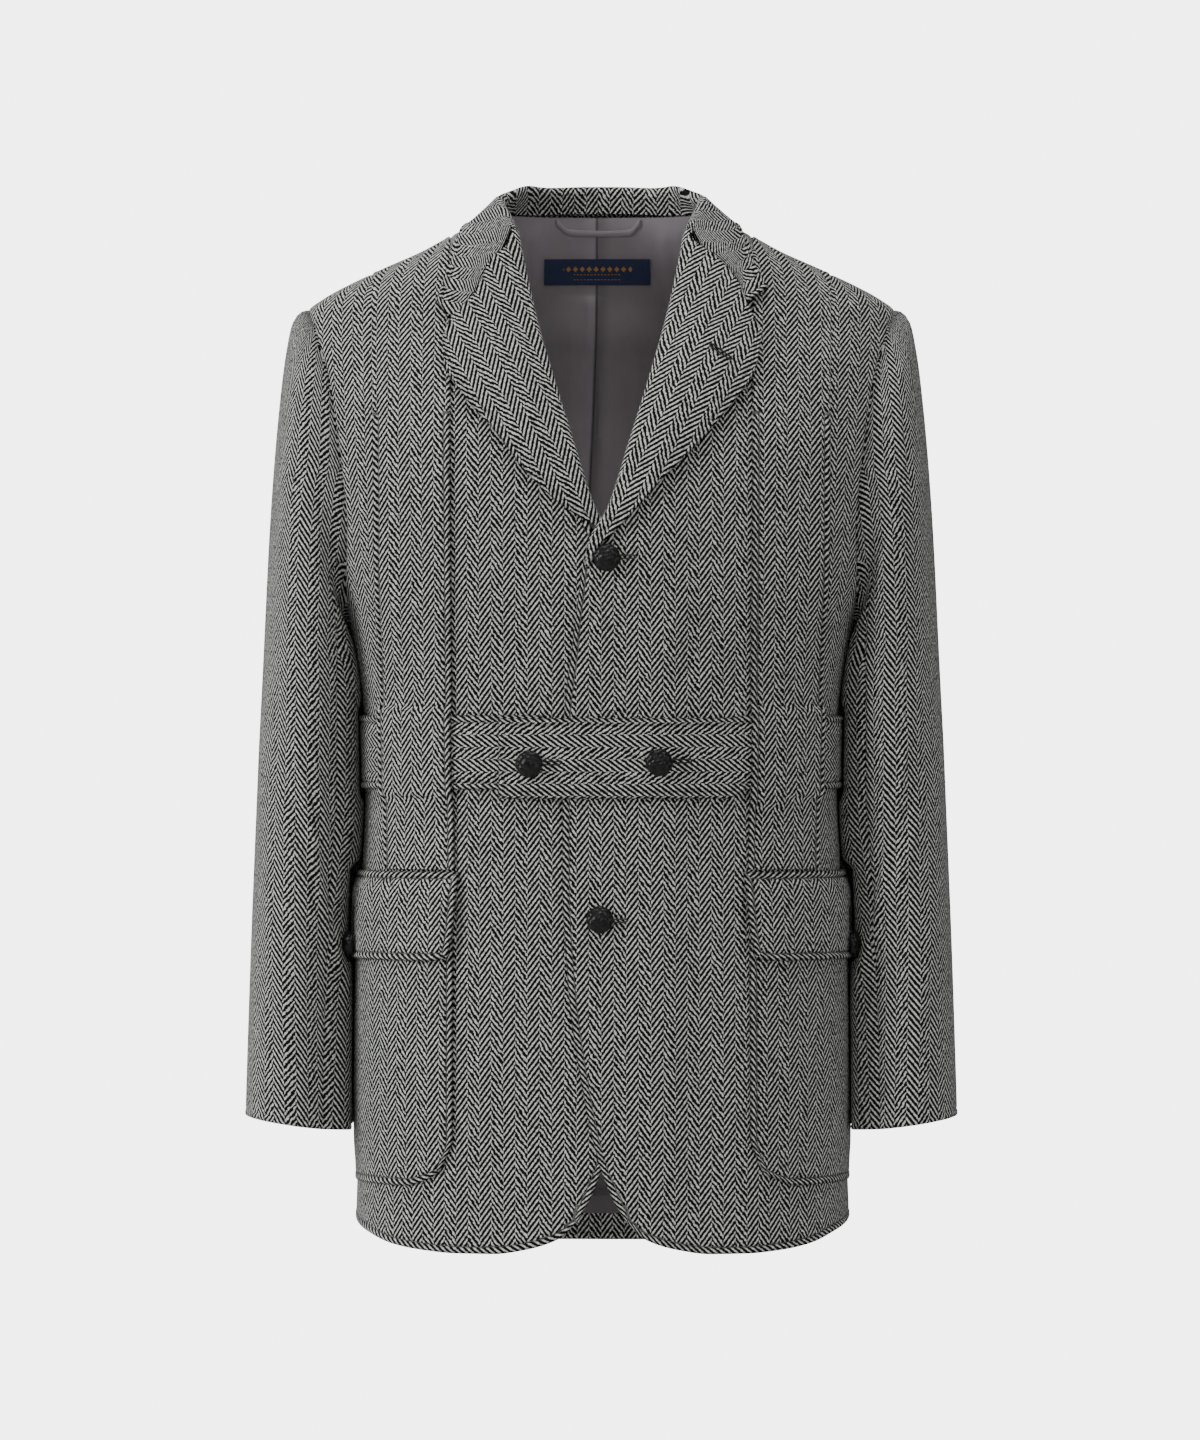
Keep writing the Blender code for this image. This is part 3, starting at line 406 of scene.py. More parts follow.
def mirrored(points, side):
    """The same points on the wearer's left (1) or right (-1)."""
    return points * np.array([side, 1.0, 1.0])


def spaced(length, step, start, end):
    """Distances along a length, crowded at each finished end."""
    head = EDGE_STEPS if start else EDGE_STEPS[:1]
    tail = length - (EDGE_STEPS[::-1] if end else EDGE_STEPS[:1])
    count = max(2, math.ceil((tail[0] - head[-1]) / step))
    return np.concatenate([head, np.linspace(head[-1], tail[0], count + 1)[1:-1], tail])


def fine_places(coarse, axis, step, ends, finished):
    """Where to read a coarse sheet along one axis, in its own row numbers."""
    length = np.linalg.norm(np.diff(coarse[..., :3], axis=axis), axis=-1).mean(axis=1 - axis)
    run = np.concatenate([[0.0], np.cumsum(length)])
    wanted = spaced(run[-1], step, ends[0] in finished, ends[1] in finished)
    return np.interp(wanted, run, np.arange(len(run)))


def read_rows(coarse, places):
    """A sheet's rows at places between its own."""
    flat = steady_curve(np.arange(len(coarse)), coarse.reshape(len(coarse), -1), places)
    return flat.reshape((len(places),) + coarse.shape[1:])


def refined(coarse, step, finished=()):
    """A fine sheet read from a coarse one."""
    rows = fine_places(coarse, 0, step, ("bottom", "top"), finished)
    columns = fine_places(coarse, 1, step, ("left", "right"), finished)
    tall = read_rows(coarse, rows)
    return np.swapaxes(read_rows(np.swapaxes(tall, 0, 1), columns), 0, 1)


def run_along(grid, axis):
    """Distance along each row (axis 1) or column (axis 0) of a sheet."""
    steps = np.linalg.norm(np.diff(grid, axis=axis), axis=-1)
    pad = ((1, 0), (0, 0)) if axis == 0 else ((0, 0), (1, 0))
    return np.pad(np.cumsum(steps, axis=axis), pad)


def from_edges(grid, edges):
    """How far each point of a sheet lies from the nearest of the named edges."""
    near = np.ones(grid.shape[:2])
    for axis, (first, last) in ((0, ("bottom", "top")), (1, ("left", "right"))):
        run = run_along(grid, axis)
        if first in edges:
            near = np.minimum(near, run)
        if last in edges:
            near = np.minimum(near, np.take(run, [-1], axis=axis) - run)
    return near


def grid_normals(grid):
    """Normals of a sheet of points, from its own rows and columns."""
    normal = np.cross(np.gradient(grid, axis=1), np.gradient(grid, axis=0))
    return normal / np.linalg.norm(normal, axis=-1, keepdims=True)


print("steps at a finished edge:", len(EDGE_STEPS))

# %% [markdown]
# ## How tweed ends
# At an edge the cloth is turned in and stitched a few millimetres back, so the edge
# rolls over, swells like a cord and then dips at the stitches. At a plain seam the
# cloth only dips. Both are small changes of height, worked out from the distance,
# and painted shade darkens the cloth's colour along them.

# %% Turned edges, seams and soft folds
TURN_RADIUS = 0.0012
WELT_AT, WELT_WIDTH, WELT_HEIGHT = 0.0024, 0.0017, 0.00060
STITCH_AT, STITCH_WIDTH, STITCH_DEPTH = 0.0050, 0.0010, 0.00075
SEAM_WIDTH, SEAM_DEPTH = 0.0022, 0.0007


def turned_edge(distance):
    """How far a rounded edge drops at a distance from its end."""
    inside = np.clip(TURN_RADIUS - distance, 0.0, TURN_RADIUS)
    return TURN_RADIUS - np.sqrt(TURN_RADIUS ** 2 - inside ** 2)


def edge_relief(distance, welt):
    """The height of a finished edge: its round end, its welt and its stitch groove."""
    swell = WELT_HEIGHT * bell((distance - WELT_AT) / WELT_WIDTH)
    groove = STITCH_DEPTH * bell((distance - STITCH_AT) / STITCH_WIDTH)
    return welt * (swell - groove) - turned_edge(distance)


def painted_shade(edge, seam=1.0):
    """Painted shade in the cloth's colour at its edges, its stitches and its seams."""
    stitches = 0.55 * bell((edge - STITCH_AT) / 0.0009)
    return np.clip(0.95 * bell(edge / 0.0012) + stitches + 0.45 * bell(seam / 0.0015), 0.0, 1.0)


# a soft fold: x and height of its two ends, its half width and its height
FOLDS = (
    (0.030, -0.325, 0.062, -0.262, 0.012, 0.0020),
    (0.070, -0.335, 0.088, -0.285, 0.010, 0.0012),
    (-0.040, -0.330, -0.030, -0.250, 0.011, 0.0014),
    (-0.075, -0.620, -0.070, -0.480, 0.016, 0.0012),
    (0.045, -0.660, 0.035, -0.500, 0.016, 0.0014),
    (-0.140, -0.300, -0.165, -0.200, 0.012, 0.0016),
    (0.140, -0.300, 0.165, -0.195, 0.012, 0.0016),
    (-0.055, -0.690, -0.050, -0.600, 0.014, 0.0010),
)


def folds_at(p):
    """Height of the soft folds that the fronts' cloth has, for points on the torso."""
    height = np.zeros(p.shape[:-1])
    for x1, z1, x2, z2, width, rise in FOLDS:
        length = math.hypot(x2 - x1, z2 - z1)
        along = ((p[..., 0] - x1) * (x2 - x1) + (p[..., 2] - z1) * (z2 - z1)) / length
        across = ((p[..., 0] - x1) * (z2 - z1) - (p[..., 2] - z1) * (x2 - x1)) / length
        taper = ramp(-0.3 * length, 0.3 * length, along) * ramp(1.3 * length, 0.7 * length, along)
        height += rise * bell(across / width) * taper
    return height * ramp(0.02, -0.02, p[..., 1])


def drape(p):
    """How far the worn cloth strays from the torso."""
    turn = np.arctan2(p[..., 1], p[..., 0])
    hem = ramp(-0.46, -0.72, p[..., 2]) * np.sin(7.0 * turn + 0.8) * 0.0012
    slack = 0.0004 * np.sin(31.0 * p[..., 0] + 2.0) * np.sin(23.0 * p[..., 2])
    return folds_at(p) + hem + slack


print("soft folds:", len(FOLDS))

# %% [markdown]
# ## Distances on the cloth
# The weave is drawn in metres of cloth. Across, a point's place is its distance
# round the torso from the centre, and up, the length of the upright line to it, so
# the stripes stay upright and crowd together only where the cloth turns away.

# %% Measure round and up the torso
HEIGHTS = np.linspace(-0.76, 0.06, 420)
TURNS = np.linspace(-math.pi / 2.0, math.pi / 2.0, 241)
REACHES = np.linspace(0.0, 0.165, 84)


def girth_table():
    """Distance round the torso from the centre front, by height and direction."""
    return run_along(np.stack(ring(TURNS, HEIGHTS[:, None]), axis=-1), 1)


def climb_table(face):
    """Length of upright lines on the front or back, by height and x."""
    points = at_front(REACHES[None, :], HEIGHTS[:, None], face)
    run = run_along(points, 0)
    return run - run[len(run) // 2]


def lookup(table, columns, z, at):
    """Read a table by height and by its columns' values."""
    row = np.clip((z - HEIGHTS[0]) / (HEIGHTS[1] - HEIGHTS[0]), 0, len(HEIGHTS) - 1.001)
    column = np.clip((at - columns[0]) / (columns[1] - columns[0]), 0, len(columns) - 1.001)
    r, c = row.astype(int), column.astype(int)
    fr, fc = row - r, column - c
    return ((1 - fr) * ((1 - fc) * table[r, c] + fc * table[r, c + 1])
            + fr * ((1 - fc) * table[r + 1, c] + fc * table[r + 1, c + 1]))


GIRTH = girth_table()
CLIMB = {-1.0: climb_table(-1.0), 1.0: climb_table(1.0)}


def body_uv(p, face=-1.0):
    """Metres of cloth across and up, for points on the torso."""
    reach = np.abs(p[..., 0])
    turn = np.arctan2(p[..., 1], np.maximum(reach, 1e-9))
    across = lookup(GIRTH, TURNS, p[..., 2], turn)
    if face > 0.0:
        across = lookup(GIRTH, TURNS, p[..., 2], np.full_like(turn, math.pi / 2.0)) - across
    up = lookup(CLIMB[face], REACHES, p[..., 2], reach)
    return np.stack([np.where(p[..., 0] < 0.0, -across, across), up], axis=-1)


def unrolled(grid):
    """Metres of cloth along a sheet's own rows and columns."""
    return np.stack([run_along(grid, 1), run_along(grid, 0)], axis=-1)


def corded(uv, grid, edges, stripe, shows):
    """Turn the weave at the finished edges, so that each welt looks like a cord."""
    uv = uv.copy()
    nearest = from_edges(grid, edges)
    for edge in edges:
        own = from_edges(grid, (edge,))
        turned = (own <= nearest + 1e-9) & (own < STITCH_AT + 0.0002) & shows
        along = uv[..., 1] if edge in ("left", "right") else uv[..., 0]
        cord = np.stack([0.25 * stripe + 0.5 * STITCH_AT - own, along], axis=-1)
        uv = np.where(turned[..., None], cord, uv)
    return uv


print("waist round, m:", round(2.0 * float(GIRTH[np.searchsorted(HEIGHTS, -0.372)][-1]), 3))

# %% [markdown]
# ## Shader maths
# A weave is arithmetic on two coordinates. Wiring it node by node hides the sums, so
# one small class lets a socket be added, multiplied and compared like a number, and
# writes the Math nodes itself.

# %% A socket that can be reckoned with
class Wire:
    """A socket of a material, with arithmetic."""

    def __init__(self, net, socket):
        self.net, self.socket = net, socket

    def math(self, operation, *others):
        values = {index: value for index, value in enumerate((self,) + others)}
        return self.net.node("ShaderNodeMath", {"operation": operation}, values)

    def __add__(self, other):
        return self.math("ADD", other)

    def __radd__(self, other):
        return self.math("ADD", other)

    def __sub__(self, other):
        return self.math("SUBTRACT", other)

    def __rsub__(self, other):
        return self.net.node("ShaderNodeMath", {"operation": "SUBTRACT"}, {0: other, 1: self})

    def __mul__(self, other):
        return self.math("MULTIPLY", other)

    def __rmul__(self, other):
        return self.math("MULTIPLY", other)

    def smooth(self, low, high):
        """0 below low, 1 above high."""
        settings = {"interpolation_type": "SMOOTHSTEP"}
        return self.net.node("ShaderNodeMapRange", settings, {0: self, 1: low, 2: high})


class Net:
    """A material's nodes, made by one method."""

    def __init__(self, name, **plain):
        self.material = bpy.data.materials.new(name)
        self.material.use_nodes = True
        self.tree = self.material.node_tree
        self.shader = self.tree.nodes["Principled BSDF"]
        for socket, value in plain.items():
            self.shader.inputs[socket.replace("_", " ")].default_value = value

    def node(self, kind, settings=None, values=None, out=0):
        """A node of any type, its settings first and then its sockets."""
        made = self.tree.nodes.new(kind)
        for name, value in (settings or {}).items():
            setattr(made, name, value)
        for socket, value in (values or {}).items():
            if isinstance(value, Wire):
                self.tree.links.new(value.socket, made.inputs[socket])
            else:
                made.inputs[socket].default_value = value
        return Wire(self, made.outputs[out])

    def mix(self, factor, low, high):
        """A colour between two others."""
        return self.node("ShaderNodeMix", {"data_type": "RGBA"}, {0: factor, 6: low, 7: high}, 2)

    def scaled(self, vector, factor):
        """A vector or a colour, times a number."""
        settings = {"operation": "SCALE"}
        return self.node("ShaderNodeVectorMath", settings, {0: vector, "Scale": factor})

    def spot(self):
        """The place in the frame of the solids, which every piece shares."""
        return self.node("ShaderNodeTexCoord", {}, {}, 3)

    def noise(self, place, scale, detail):
        """Grey clouds, about 0.5."""
        return self.node("ShaderNodeTexNoise", {}, {0: place, 2: scale, 3: detail})

    def bump(self, height, distance, strength=1.0):
        """Feed a height in [0, 1] to the shader's normal."""
        values = {"Height": height, "Distance": distance, "Strength": strength}
        self.into("Normal", self.node("ShaderNodeBump", {}, values))

    def into(self, socket, wire):
        """Link a wire to the shader."""
        self.tree.links.new(wire.socket, self.shader.inputs[socket])


def grey(value, blue=1.0):
    """A grey as a colour, its blue turned down to warm it."""
    return value, value, value * blue, 1.0


def parts(net, vector):
    """The three parts of a vector, as wires."""
    split = net.node("ShaderNodeSeparateXYZ", {}, {0: vector})
    return [Wire(net, socket) for socket in split.socket.node.outputs]


print("shader helpers ready")

# %% [markdown]
# ## Herringbone tweed
# A twill's light and dark lines climb one way for half a stripe and fall the other
# way for the next half, a little out of step. An image could hold that, but an image
# has one size. Here the lines are sine waves of the cloth's own metres, so they stay
# sharp at any distance, with yarn steps, slubs and hair laid over them.

# %% The tweed
# width of a stripe, height of a twill line's repeat, its slope, a yarn's width, and the
# share of a repeat by which the falling half stripe is late
STRIPE = 0.0175
TWILL = 0.0050
STEEP = 1.34
YARN = 0.00125
OUT_OF_STEP = 0.42


def cloth_place(net):
    """Metres across and up the cloth, as a vector and as two wires."""
    place = net.node("ShaderNodeUVMap", {"uv_map": "cloth"})
    across, up, _ = parts(net, place)
    return place, across, up


def herringbone():
    """Black and pale grey wool, woven in upright stripes."""
    net = Net("tweed", Roughness=0.95, Sheen_Weight=0.02, Sheen_Roughness=0.6)
    net.shader.inputs["Specular IOR Level"].default_value = 0.06
    place, across, up = cloth_place(net)
    millimetres = net.scaled(place, 1000.0)
    wobble = net.noise(millimetres, 0.11, 3.0) - 0.5
    waver = net.noise(millimetres, 0.42, 2.0) - 0.5
    across = across + wobble * 0.0016 + waver * 0.0009
    up = up + waver * 0.0022 + wobble * 0.0026
    share = (across * (1.0 / STRIPE)).math("FRACT")
    climb = (share - 0.5).math("ABSOLUTE") * STRIPE
    falling = share.math("GREATER_THAN", 0.5)
    yarn_step = (climb * (1.0 / YARN)).math("FLOOR") * YARN
    climb = climb * 0.75 + yarn_step * 0.25
    turns = (up + climb * STEEP) * (1.0 / TWILL) + falling * OUT_OF_STEP
    line = (turns * (2.0 * math.pi)).math("SINE")
    strand = (up * (2.0 * math.pi / YARN)).math("SINE") * 0.5 + 0.5
    slub = net.noise(millimetres, 0.5, 3.0)
    hair = net.noise(millimetres, 2.2, 3.0)
    light = (line + (slub - 0.5) * 2.0 + (hair - 0.5) * 0.7).smooth(-0.12, 0.84)
    pale = net.mix(slub.smooth(0.28, 0.72), grey(0.58, 0.970), grey(0.97, 0.985))
    dark = net.mix(hair.smooth(0.35, 0.75), grey(0.002), grey(0.016, 0.96))
    # painted shade, kept on the points, darkens the colour at edges, stitches and seams; strand
    # is the yarn's own stripes
    shadow = net.node("ShaderNodeAttribute", {"attribute_name": "painted_shade"}, {}, 2)
    shade = (strand * 0.18 + 0.86) * (1.0 - shadow * 0.72)
    net.into("Base Color", net.scaled(net.mix(light, dark, pale), shade))
    height = light * 0.50 + strand * 0.16 + hair * 0.55
    net.bump(height, 0.0009, 0.85)
    return net.material


tweed = herringbone()
print("stripe, mm:", STRIPE * 1000, "twill line, mm:", TWILL * 1000)

# %% [markdown]
# ## Lining, leather, label and thread
# The lining is a tight satin: smooth, slightly glossy, with threads too fine to see
# apart. The buttons are polished leather, so their gloss comes from a clear coat and
# their grain from small cells. The label is woven navy with a row of gold lozenges.

# %% The other finishes
# the label's repeats: lozenges across, dashed lines up, and dashes across
LOZENGES = 0.0052
DASH_ROWS = 0.0038
DASHES = 0.0026


def satin(name, pleated):
    """Grey lining with painted shade at its foot, and a painted pleat shadow if it is pleated."""
    net = Net(name, Roughness=0.42, Sheen_Weight=0.1, Sheen_Roughness=0.4)
    place, _, up = cloth_place(net)
    threads = (up * (2.0 * math.pi / 0.0005)).math("SINE") * 0.5 + 0.5
    cloud = net.noise(place, 45.0, 3.0)
    tone = cloud * 0.5 + threads * 0.06
    colour = net.mix(tone, (0.372, 0.332, 0.356, 1.0), (0.470, 0.428, 0.454, 1.0))
    x, _, z = parts(net, net.spot())
    # painted shade: the lining darkens toward its foot, where little light reaches inside
    shade = z.smooth(-0.68, -0.59) * 0.68 + 0.32
    if pleated:
        # painted shadow along the pleat's line, with painted light on its left and painted shade
        # on its right
        past = x + 0.0035 + (1.0 - z.smooth(-0.30, -0.02)) * 0.009
        line = 1.0 - past.math("ABSOLUTE").smooth(0.0002, 0.0015)
        left = past.smooth(-0.0130, -0.0010) * (1.0 - past.smooth(-0.0010, 0.0004))
        right = past.smooth(-0.0002, 0.0008) * (1.0 - past.smooth(0.0010, 0.0120))
        shade = shade * (1.0 - line * 0.62 + left * 0.16 - right * 0.26)
    net.into("Base Color", net.scaled(colour, shade))
    net.into("Roughness", cloud * 0.14 + 0.36)
    net.bump(threads * 0.3 + cloud * 0.7, 0.0003, 0.5)
    return net.material


def polished_leather():
    """Black leather, creased at its grain."""
    net = Net("leather", Roughness=0.34, Coat_Weight=0.22, Coat_Roughness=0.08)
    net.shader.inputs["Specular IOR Level"].default_value = 0.22
    cells = {0: net.spot(), 2: 1900.0}
    grain = net.node("ShaderNodeTexVoronoi", {"feature": "DISTANCE_TO_EDGE"}, cells)
    cloud = net.noise(net.spot(), 320.0, 3.0)
    net.into("Base Color", net.mix(cloud.smooth(0.3, 0.8), (0.0020, 0.0018, 0.0019, 1.0),
                                   (0.0090, 0.0078, 0.0078, 1.0)))
    net.into("Roughness", cloud * 0.24 + 0.18)
    net.bump(grain.smooth(0.0, 0.06) * 0.6 + cloud * 0.4, 0.00012, 0.6)
    return net.material


def woven_label():
    """Navy cloth with a gold row of lozenges over two dashed lines."""
    net = Net("label_cloth", Roughness=0.75, Sheen_Weight=0.15)
    _, across, up = cloth_place(net)
    rib = (up * (2.0 * math.pi / 0.0006)).math("SINE") * 0.5 + 0.5
    lean = ((across * (1.0 / LOZENGES)).math("FRACT") - 0.5).math("ABSOLUTE") * LOZENGES
    rise = (up - 0.0115).math("ABSOLUTE")
    lozenge = 1.0 - (lean + rise).smooth(0.0019, 0.0022)
    inside = across.smooth(0.014, 0.0141) * (1.0 - across.smooth(0.0662, 0.0663))
    fine = ((up * (1.0 / DASH_ROWS)).math("FRACT") - 0.5).math("ABSOLUTE").smooth(0.40, 0.46)
    dashes = (across * (1.0 / DASHES)).math("FRACT").smooth(0.35, 0.45)
    rows = up.smooth(0.0020, 0.0021) * (1.0 - up.smooth(0.0080, 0.0081))
    short = across.smooth(0.022, 0.0221) * (1.0 - across.smooth(0.0582, 0.0583))
    gold = (lozenge * inside).math("MAXIMUM", fine * dashes * rows * short)
    colour = net.mix(gold, (0.031, 0.045, 0.122, 1.0), (0.62, 0.30, 0.080, 1.0))
    net.into("Base Color", colour)
    net.bump(rib * 0.5 + gold * 0.5, 0.0003, 0.6)
    return net.material


def thread_finish(name, colour):
    """Twisted thread, seen as fine slanted ridges."""
    net = Net(name, Roughness=0.6)
    bands = {"bands_direction": "DIAGONAL"}
    twist = net.node("ShaderNodeTexWave", bands, {0: net.spot(), 1: 900.0})
    # painted shade: alternate bands of the twist take 40% of the thread's colour, as shade in its
    # hollows
    twist_hollow_shade = tuple(0.4 * part for part in colour[:3]) + (1.0,)
    net.into("Base Color", net.mix(twist, colour, twist_hollow_shade))
    net.bump(twist, 0.0003, 0.8)
    return net.material


lining = satin("lining_satin", False)
pleated_lining = satin("pleated_satin", True)
leather = polished_leather()
label_cloth = woven_label()
black_thread = thread_finish("black_thread", (0.030, 0.029, 0.028, 1.0))
grey_thread = thread_finish("grey_thread", (0.085, 0.085, 0.082, 1.0))
finishes = (tweed, lining, pleated_lining, leather, label_cloth, black_thread, grey_thread)
print("finishes:", [finish.name for finish in finishes])

# %% [markdown]
# ## From points to cloth
# A flat grid is added and each of its points is moved to its place, as a cutter pins
# cloth to a form. Solidify then gives it a wall, and the two faces of the wall take
# their exact places, so the cloth is thick in the middle and thin at a turned edge.

# %% Make one piece of cloth
# how much of an edge's turn shows on the inner face, and the angle that stays sharp
INNER_TURN = 0.35
SHARP = math.radians(55.0)


def read_points(mesh):
    """The places of a mesh's points."""
    points = np.empty(len(mesh.vertices) * 3, np.float32)
    mesh.vertices.foreach_get("co", points)
    return points.reshape(-1, 3).astype(float)


def place_points(mesh, places):
    """Move a mesh's points."""
    mesh.vertices.foreach_set("co", places.astype(np.float32).ravel())


def cloth_piece(name, outer, inner, uv, skins, facing=None, shadow=None):
    """A closed piece of cloth between two sheets of points."""
    rows, columns = outer.shape[:2]
    bpy.ops.object.select_all(action="DESELECT")
    bpy.ops.mesh.primitive_grid_add(x_subdivisions=columns - 1, y_subdivisions=rows - 1, size=1.0)
    piece = bpy.context.object
    piece.name = piece.data.name = name
    mesh = piece.data
    corners = np.empty(len(mesh.loops), np.int32)
    mesh.loops.foreach_get("vertex_index", corners)
    layer = mesh.uv_layers[0]
    layer.name = "cloth"
    layer.uv.foreach_set("vector", uv.reshape(-1, 2)[corners].astype(np.float32).ravel())
    for finish in skins:
        mesh.materials.append(finish)
    wall = piece.modifiers.new("wall", "SOLIDIFY")
    wall.thickness = CLOTH
    wall.offset = -1.0
    wall.material_offset = 1
    bpy.ops.object.modifier_apply(modifier="wall")
    mesh = piece.data
    place_points(mesh, np.concatenate([outer.reshape(-1, 3), inner.reshape(-1, 3)]))
    # painted shade at edges, stitches and seams, kept on both faces' points for the tweed's
    # colour
    if shadow is not None:
        values = np.concatenate([np.broadcast_to(shadow, outer.shape[:2]).ravel()] * 2)
        layer = mesh.attributes.new("painted_shade", "FLOAT", "POINT")
        layer.data.foreach_set("value", values.astype(np.float32))
    quads = (rows - 1) * (columns - 1)
    kinds = np.zeros(len(mesh.polygons), np.int32)
    kinds[quads:2 * quads] = 1 if facing is None else np.where(facing[1:, 1:], 0, 1).ravel()
    mesh.polygons.foreach_set("material_index", kinds)
    row, column = rows // 2, columns // 2
    looks = np.cross(outer[row, column] - outer[row, column - 1],
                     outer[row, column] - outer[row - 1, column])
    if np.dot(looks, outer[row, column] - inner[row, column]) < 0.0:
        mesh.flip_normals()
    mesh.update()
    bpy.ops.object.shade_smooth_by_angle(angle=SHARP)
    return piece


def surface(points):
    """Area of a sheet of points."""
    a = points[1:, :-1] - points[:-1, :-1]
    b = points[:-1, 1:] - points[:-1, :-1]
    return float(np.linalg.norm(np.cross(a, b), axis=-1).sum())


def dress(piece, node, outer=None, cut=None):
    """Let a piece stand for its solid, and state the cut of a sheet of cloth."""
    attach(piece, "root")
    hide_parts(node)
    if cut is not None:
        area = min(surface(outer), cut[0] * cut[1])
        print(f"{piece.name}: cut {cut[0]:.3f} x {cut[1]:.3f} m, {area:.4f} square m")


def extent(uv):
    """Width and length of the cloth that a sheet is cut from."""
    return tuple(float(np.ptp(uv[..., axis])) for axis in (0, 1))


def laid(node, grid, height, side=1, welt=0.0, finished=(), sewn=(), skins=(tweed, lining),
         face=-1.0, shift=(0.0, 0.0), thickness=CLOTH, facing=None, uv=None,
         cut=None, welt_shows=False, shadow=1.0):
    """Cloth laid on the torso, its outer face at a height over the grid's points."""
    grid_side = mirrored(grid, side)
    normal = mirrored(body_normal(grid), side)
    height = np.broadcast_to(np.asarray(height, float), grid.shape[:2]) + drape(grid_side)
    edge = from_edges(grid, finished)
    dip = SEAM_DEPTH * bell(from_edges(grid, sewn) / SEAM_WIDTH)
    outer = grid_side + normal * (height + edge_relief(edge, welt) - dip)[..., None]
    inner_height = height - thickness + INNER_TURN * turned_edge(edge) - dip
    inner = grid_side + normal * inner_height[..., None]
    uv = body_uv(grid_side, face) + np.array(shift) if uv is None else uv
    cut = cut or extent(uv)
    if np.any(welt_shows):
        uv = corded(uv, grid, finished, STRIPE, welt_shows)
    # painted shade at the finished edges and the sewn seams
    shadow = shadow * painted_shade(edge, from_edges(grid, sewn))
    piece = cloth_piece(f"cloth_{node}", outer, inner, uv, skins, facing, shadow)
    dress(piece, node, outer, cut)


print("cloth maker ready")

# %% [markdown]
# ## Fronts and back
# Each front runs from its edge to the side seam and up round the armhole to the
# shoulder. The front edge is finished, the other edges are sewn. Inside, a band of
# tweed faces the front edge and the rest is lining, as tailors make it.

# %% Seam lines
def armhole(angle):
    """The armhole on the wearer's left: 0 at the shoulder, 90 degrees at the front."""
    angle = np.asarray(angle, float)
    middle, reach = (ARMHOLE_TOP + ARMPIT) / 2.0, (ARMHOLE_TOP - ARMPIT) / 2.0
    z = middle + reach * np.cos(angle)
    swing = np.sin(angle)
    depth = np.where(swing > 0.0, ARMHOLE_DEPTH[0], ARMHOLE_DEPTH[1])
    y = -depth * swing * (1.0 - 0.12 * np.cos(angle))
    width, front, back, power = body_row(z)
    across = np.where(y < 0.0, front, back)
    x = width * np.clip(1.0 - np.abs(y / across) ** power, 0.0, 1.0) ** (1.0 / power)
    return np.stack([x, y, z], axis=-1)


def side_curve(face):
    """The side seam from the hem to the armpit, then the armhole to the shoulder."""
    z = np.array(SIDE_ROWS)
    y = SIDE_SEAM_BACK * (ARMPIT - z) / (ARMPIT - HEM_SIDE)
    width, _, back, power = body_row(z)
    x = width * (1.0 - (y / back) ** power) ** (1.0 / power)
    turn = np.linspace(math.pi, 0.0, ARMHOLE_CELLS + 1)[1:]
    return np.concatenate([np.stack([x, y, z], axis=-1), armhole(turn if face < 0.0 else -turn)])


def shoulder_seam(cells):
    """The shoulder seam along the ridge, from the neck to the armhole."""
    end = armhole(0.0)
    x = np.linspace(NECK_POINT[0], end[0], cells + 1)
    points = np.stack([x, 0.0 * x, ridge_height(x)], axis=-1)
    points[0], points[-1] = NECK_POINT, end
    return points


def front_edge_x(z):
    """Distance of the front edge, or of the roll line, from the centre."""
    table = np.array(FRONT_EDGE)
    return steady_curve(table[:, 0], table[:, 1], z)[..., 0]


def lap_height(p, side):
    """How far a front stands off the torso: the left one, where it laps over."""
    across = 1.0 - ramp(0.042, 0.070, p[..., 0])
    return LAP * across * (1.0 - ramp(-0.205, -0.165, p[..., 2])) if side > 0 else 0.0 * across


def hem_height(x):
    """Height of the back's hem, which falls from the sides to the middle."""
    return HEM_BACK + (HEM_SIDE - HEM_BACK) * (x / side_curve(1.0)[0, 0]) ** 4


print("side seam, m:", round(float(np.ptp(side_curve(1.0)[:9, 2])), 3))

# %% Fronts
FACING_WIDTH = 0.085
HEM_TURN = 0.0208
STRAP_SINK = 0.0011
ROLL_EASE = 0.0012
RIGHT_BREAK = 0.0070


def under_strap(p, face):
    """1 under the upper end of a strap, where the cloth below gives way to it."""
    table = np.array(STRAPS)
    first = 1 if face < 0.0 else 3
    sides = steady_curve(table[:, 0], table[:, first:first + 2], p[..., 2])
    reach = np.abs(p[..., 0])
    within = ramp(-0.003, 0.0, reach - sides[..., 0]) * ramp(0.003, 0.0, reach - sides[..., 1])
    return within * ramp(-0.15, -0.05, p[..., 2])


def front_grid(side):
    """The coarse points of one front, on the torso."""
    low, high = np.array(EDGE_ROWS), np.array(ROLL_ROWS)
    x_high = front_edge_x(high) + ROLL_RADIUS + ROLL_EASE
    if side < 0:
        x_high[0] = RIGHT_BREAK
    edge = np.concatenate([at_front(front_edge_x(low), low), at_front(x_high, high),
                           on_body([NECK_ROW]), [NECK_POINT]])
    side_edge = side_curve(-1.0)
    hem = [at_front(x, z) for x, z in FRONT_HEM]
    bottom = thread(np.concatenate([hem, side_edge[:1]]), FRONT_CELLS, 1.15)
    top = thread(shoulder_seam(SHOULDER_CELLS), FRONT_CELLS)
    bottom[0] = edge[0]
    return relaxed(patch(bottom, top, edge, side_edge))


for side, hand in SIDES:
    grid = on_body(refined(front_grid(side), 0.0040, ("left", "bottom")))
    height = lap_height(grid, side) - STRAP_SINK * under_strap(grid, -1.0)
    faced = from_edges(grid, ("left",)) < FACING_WIDTH
    faced |= from_edges(grid, ("bottom",)) < HEM_TURN
    laid(f"front_{hand}", grid, height, side, welt=0.7, finished=("left", "bottom"),
         sewn=("right", "top"), facing=faced, welt_shows=True)

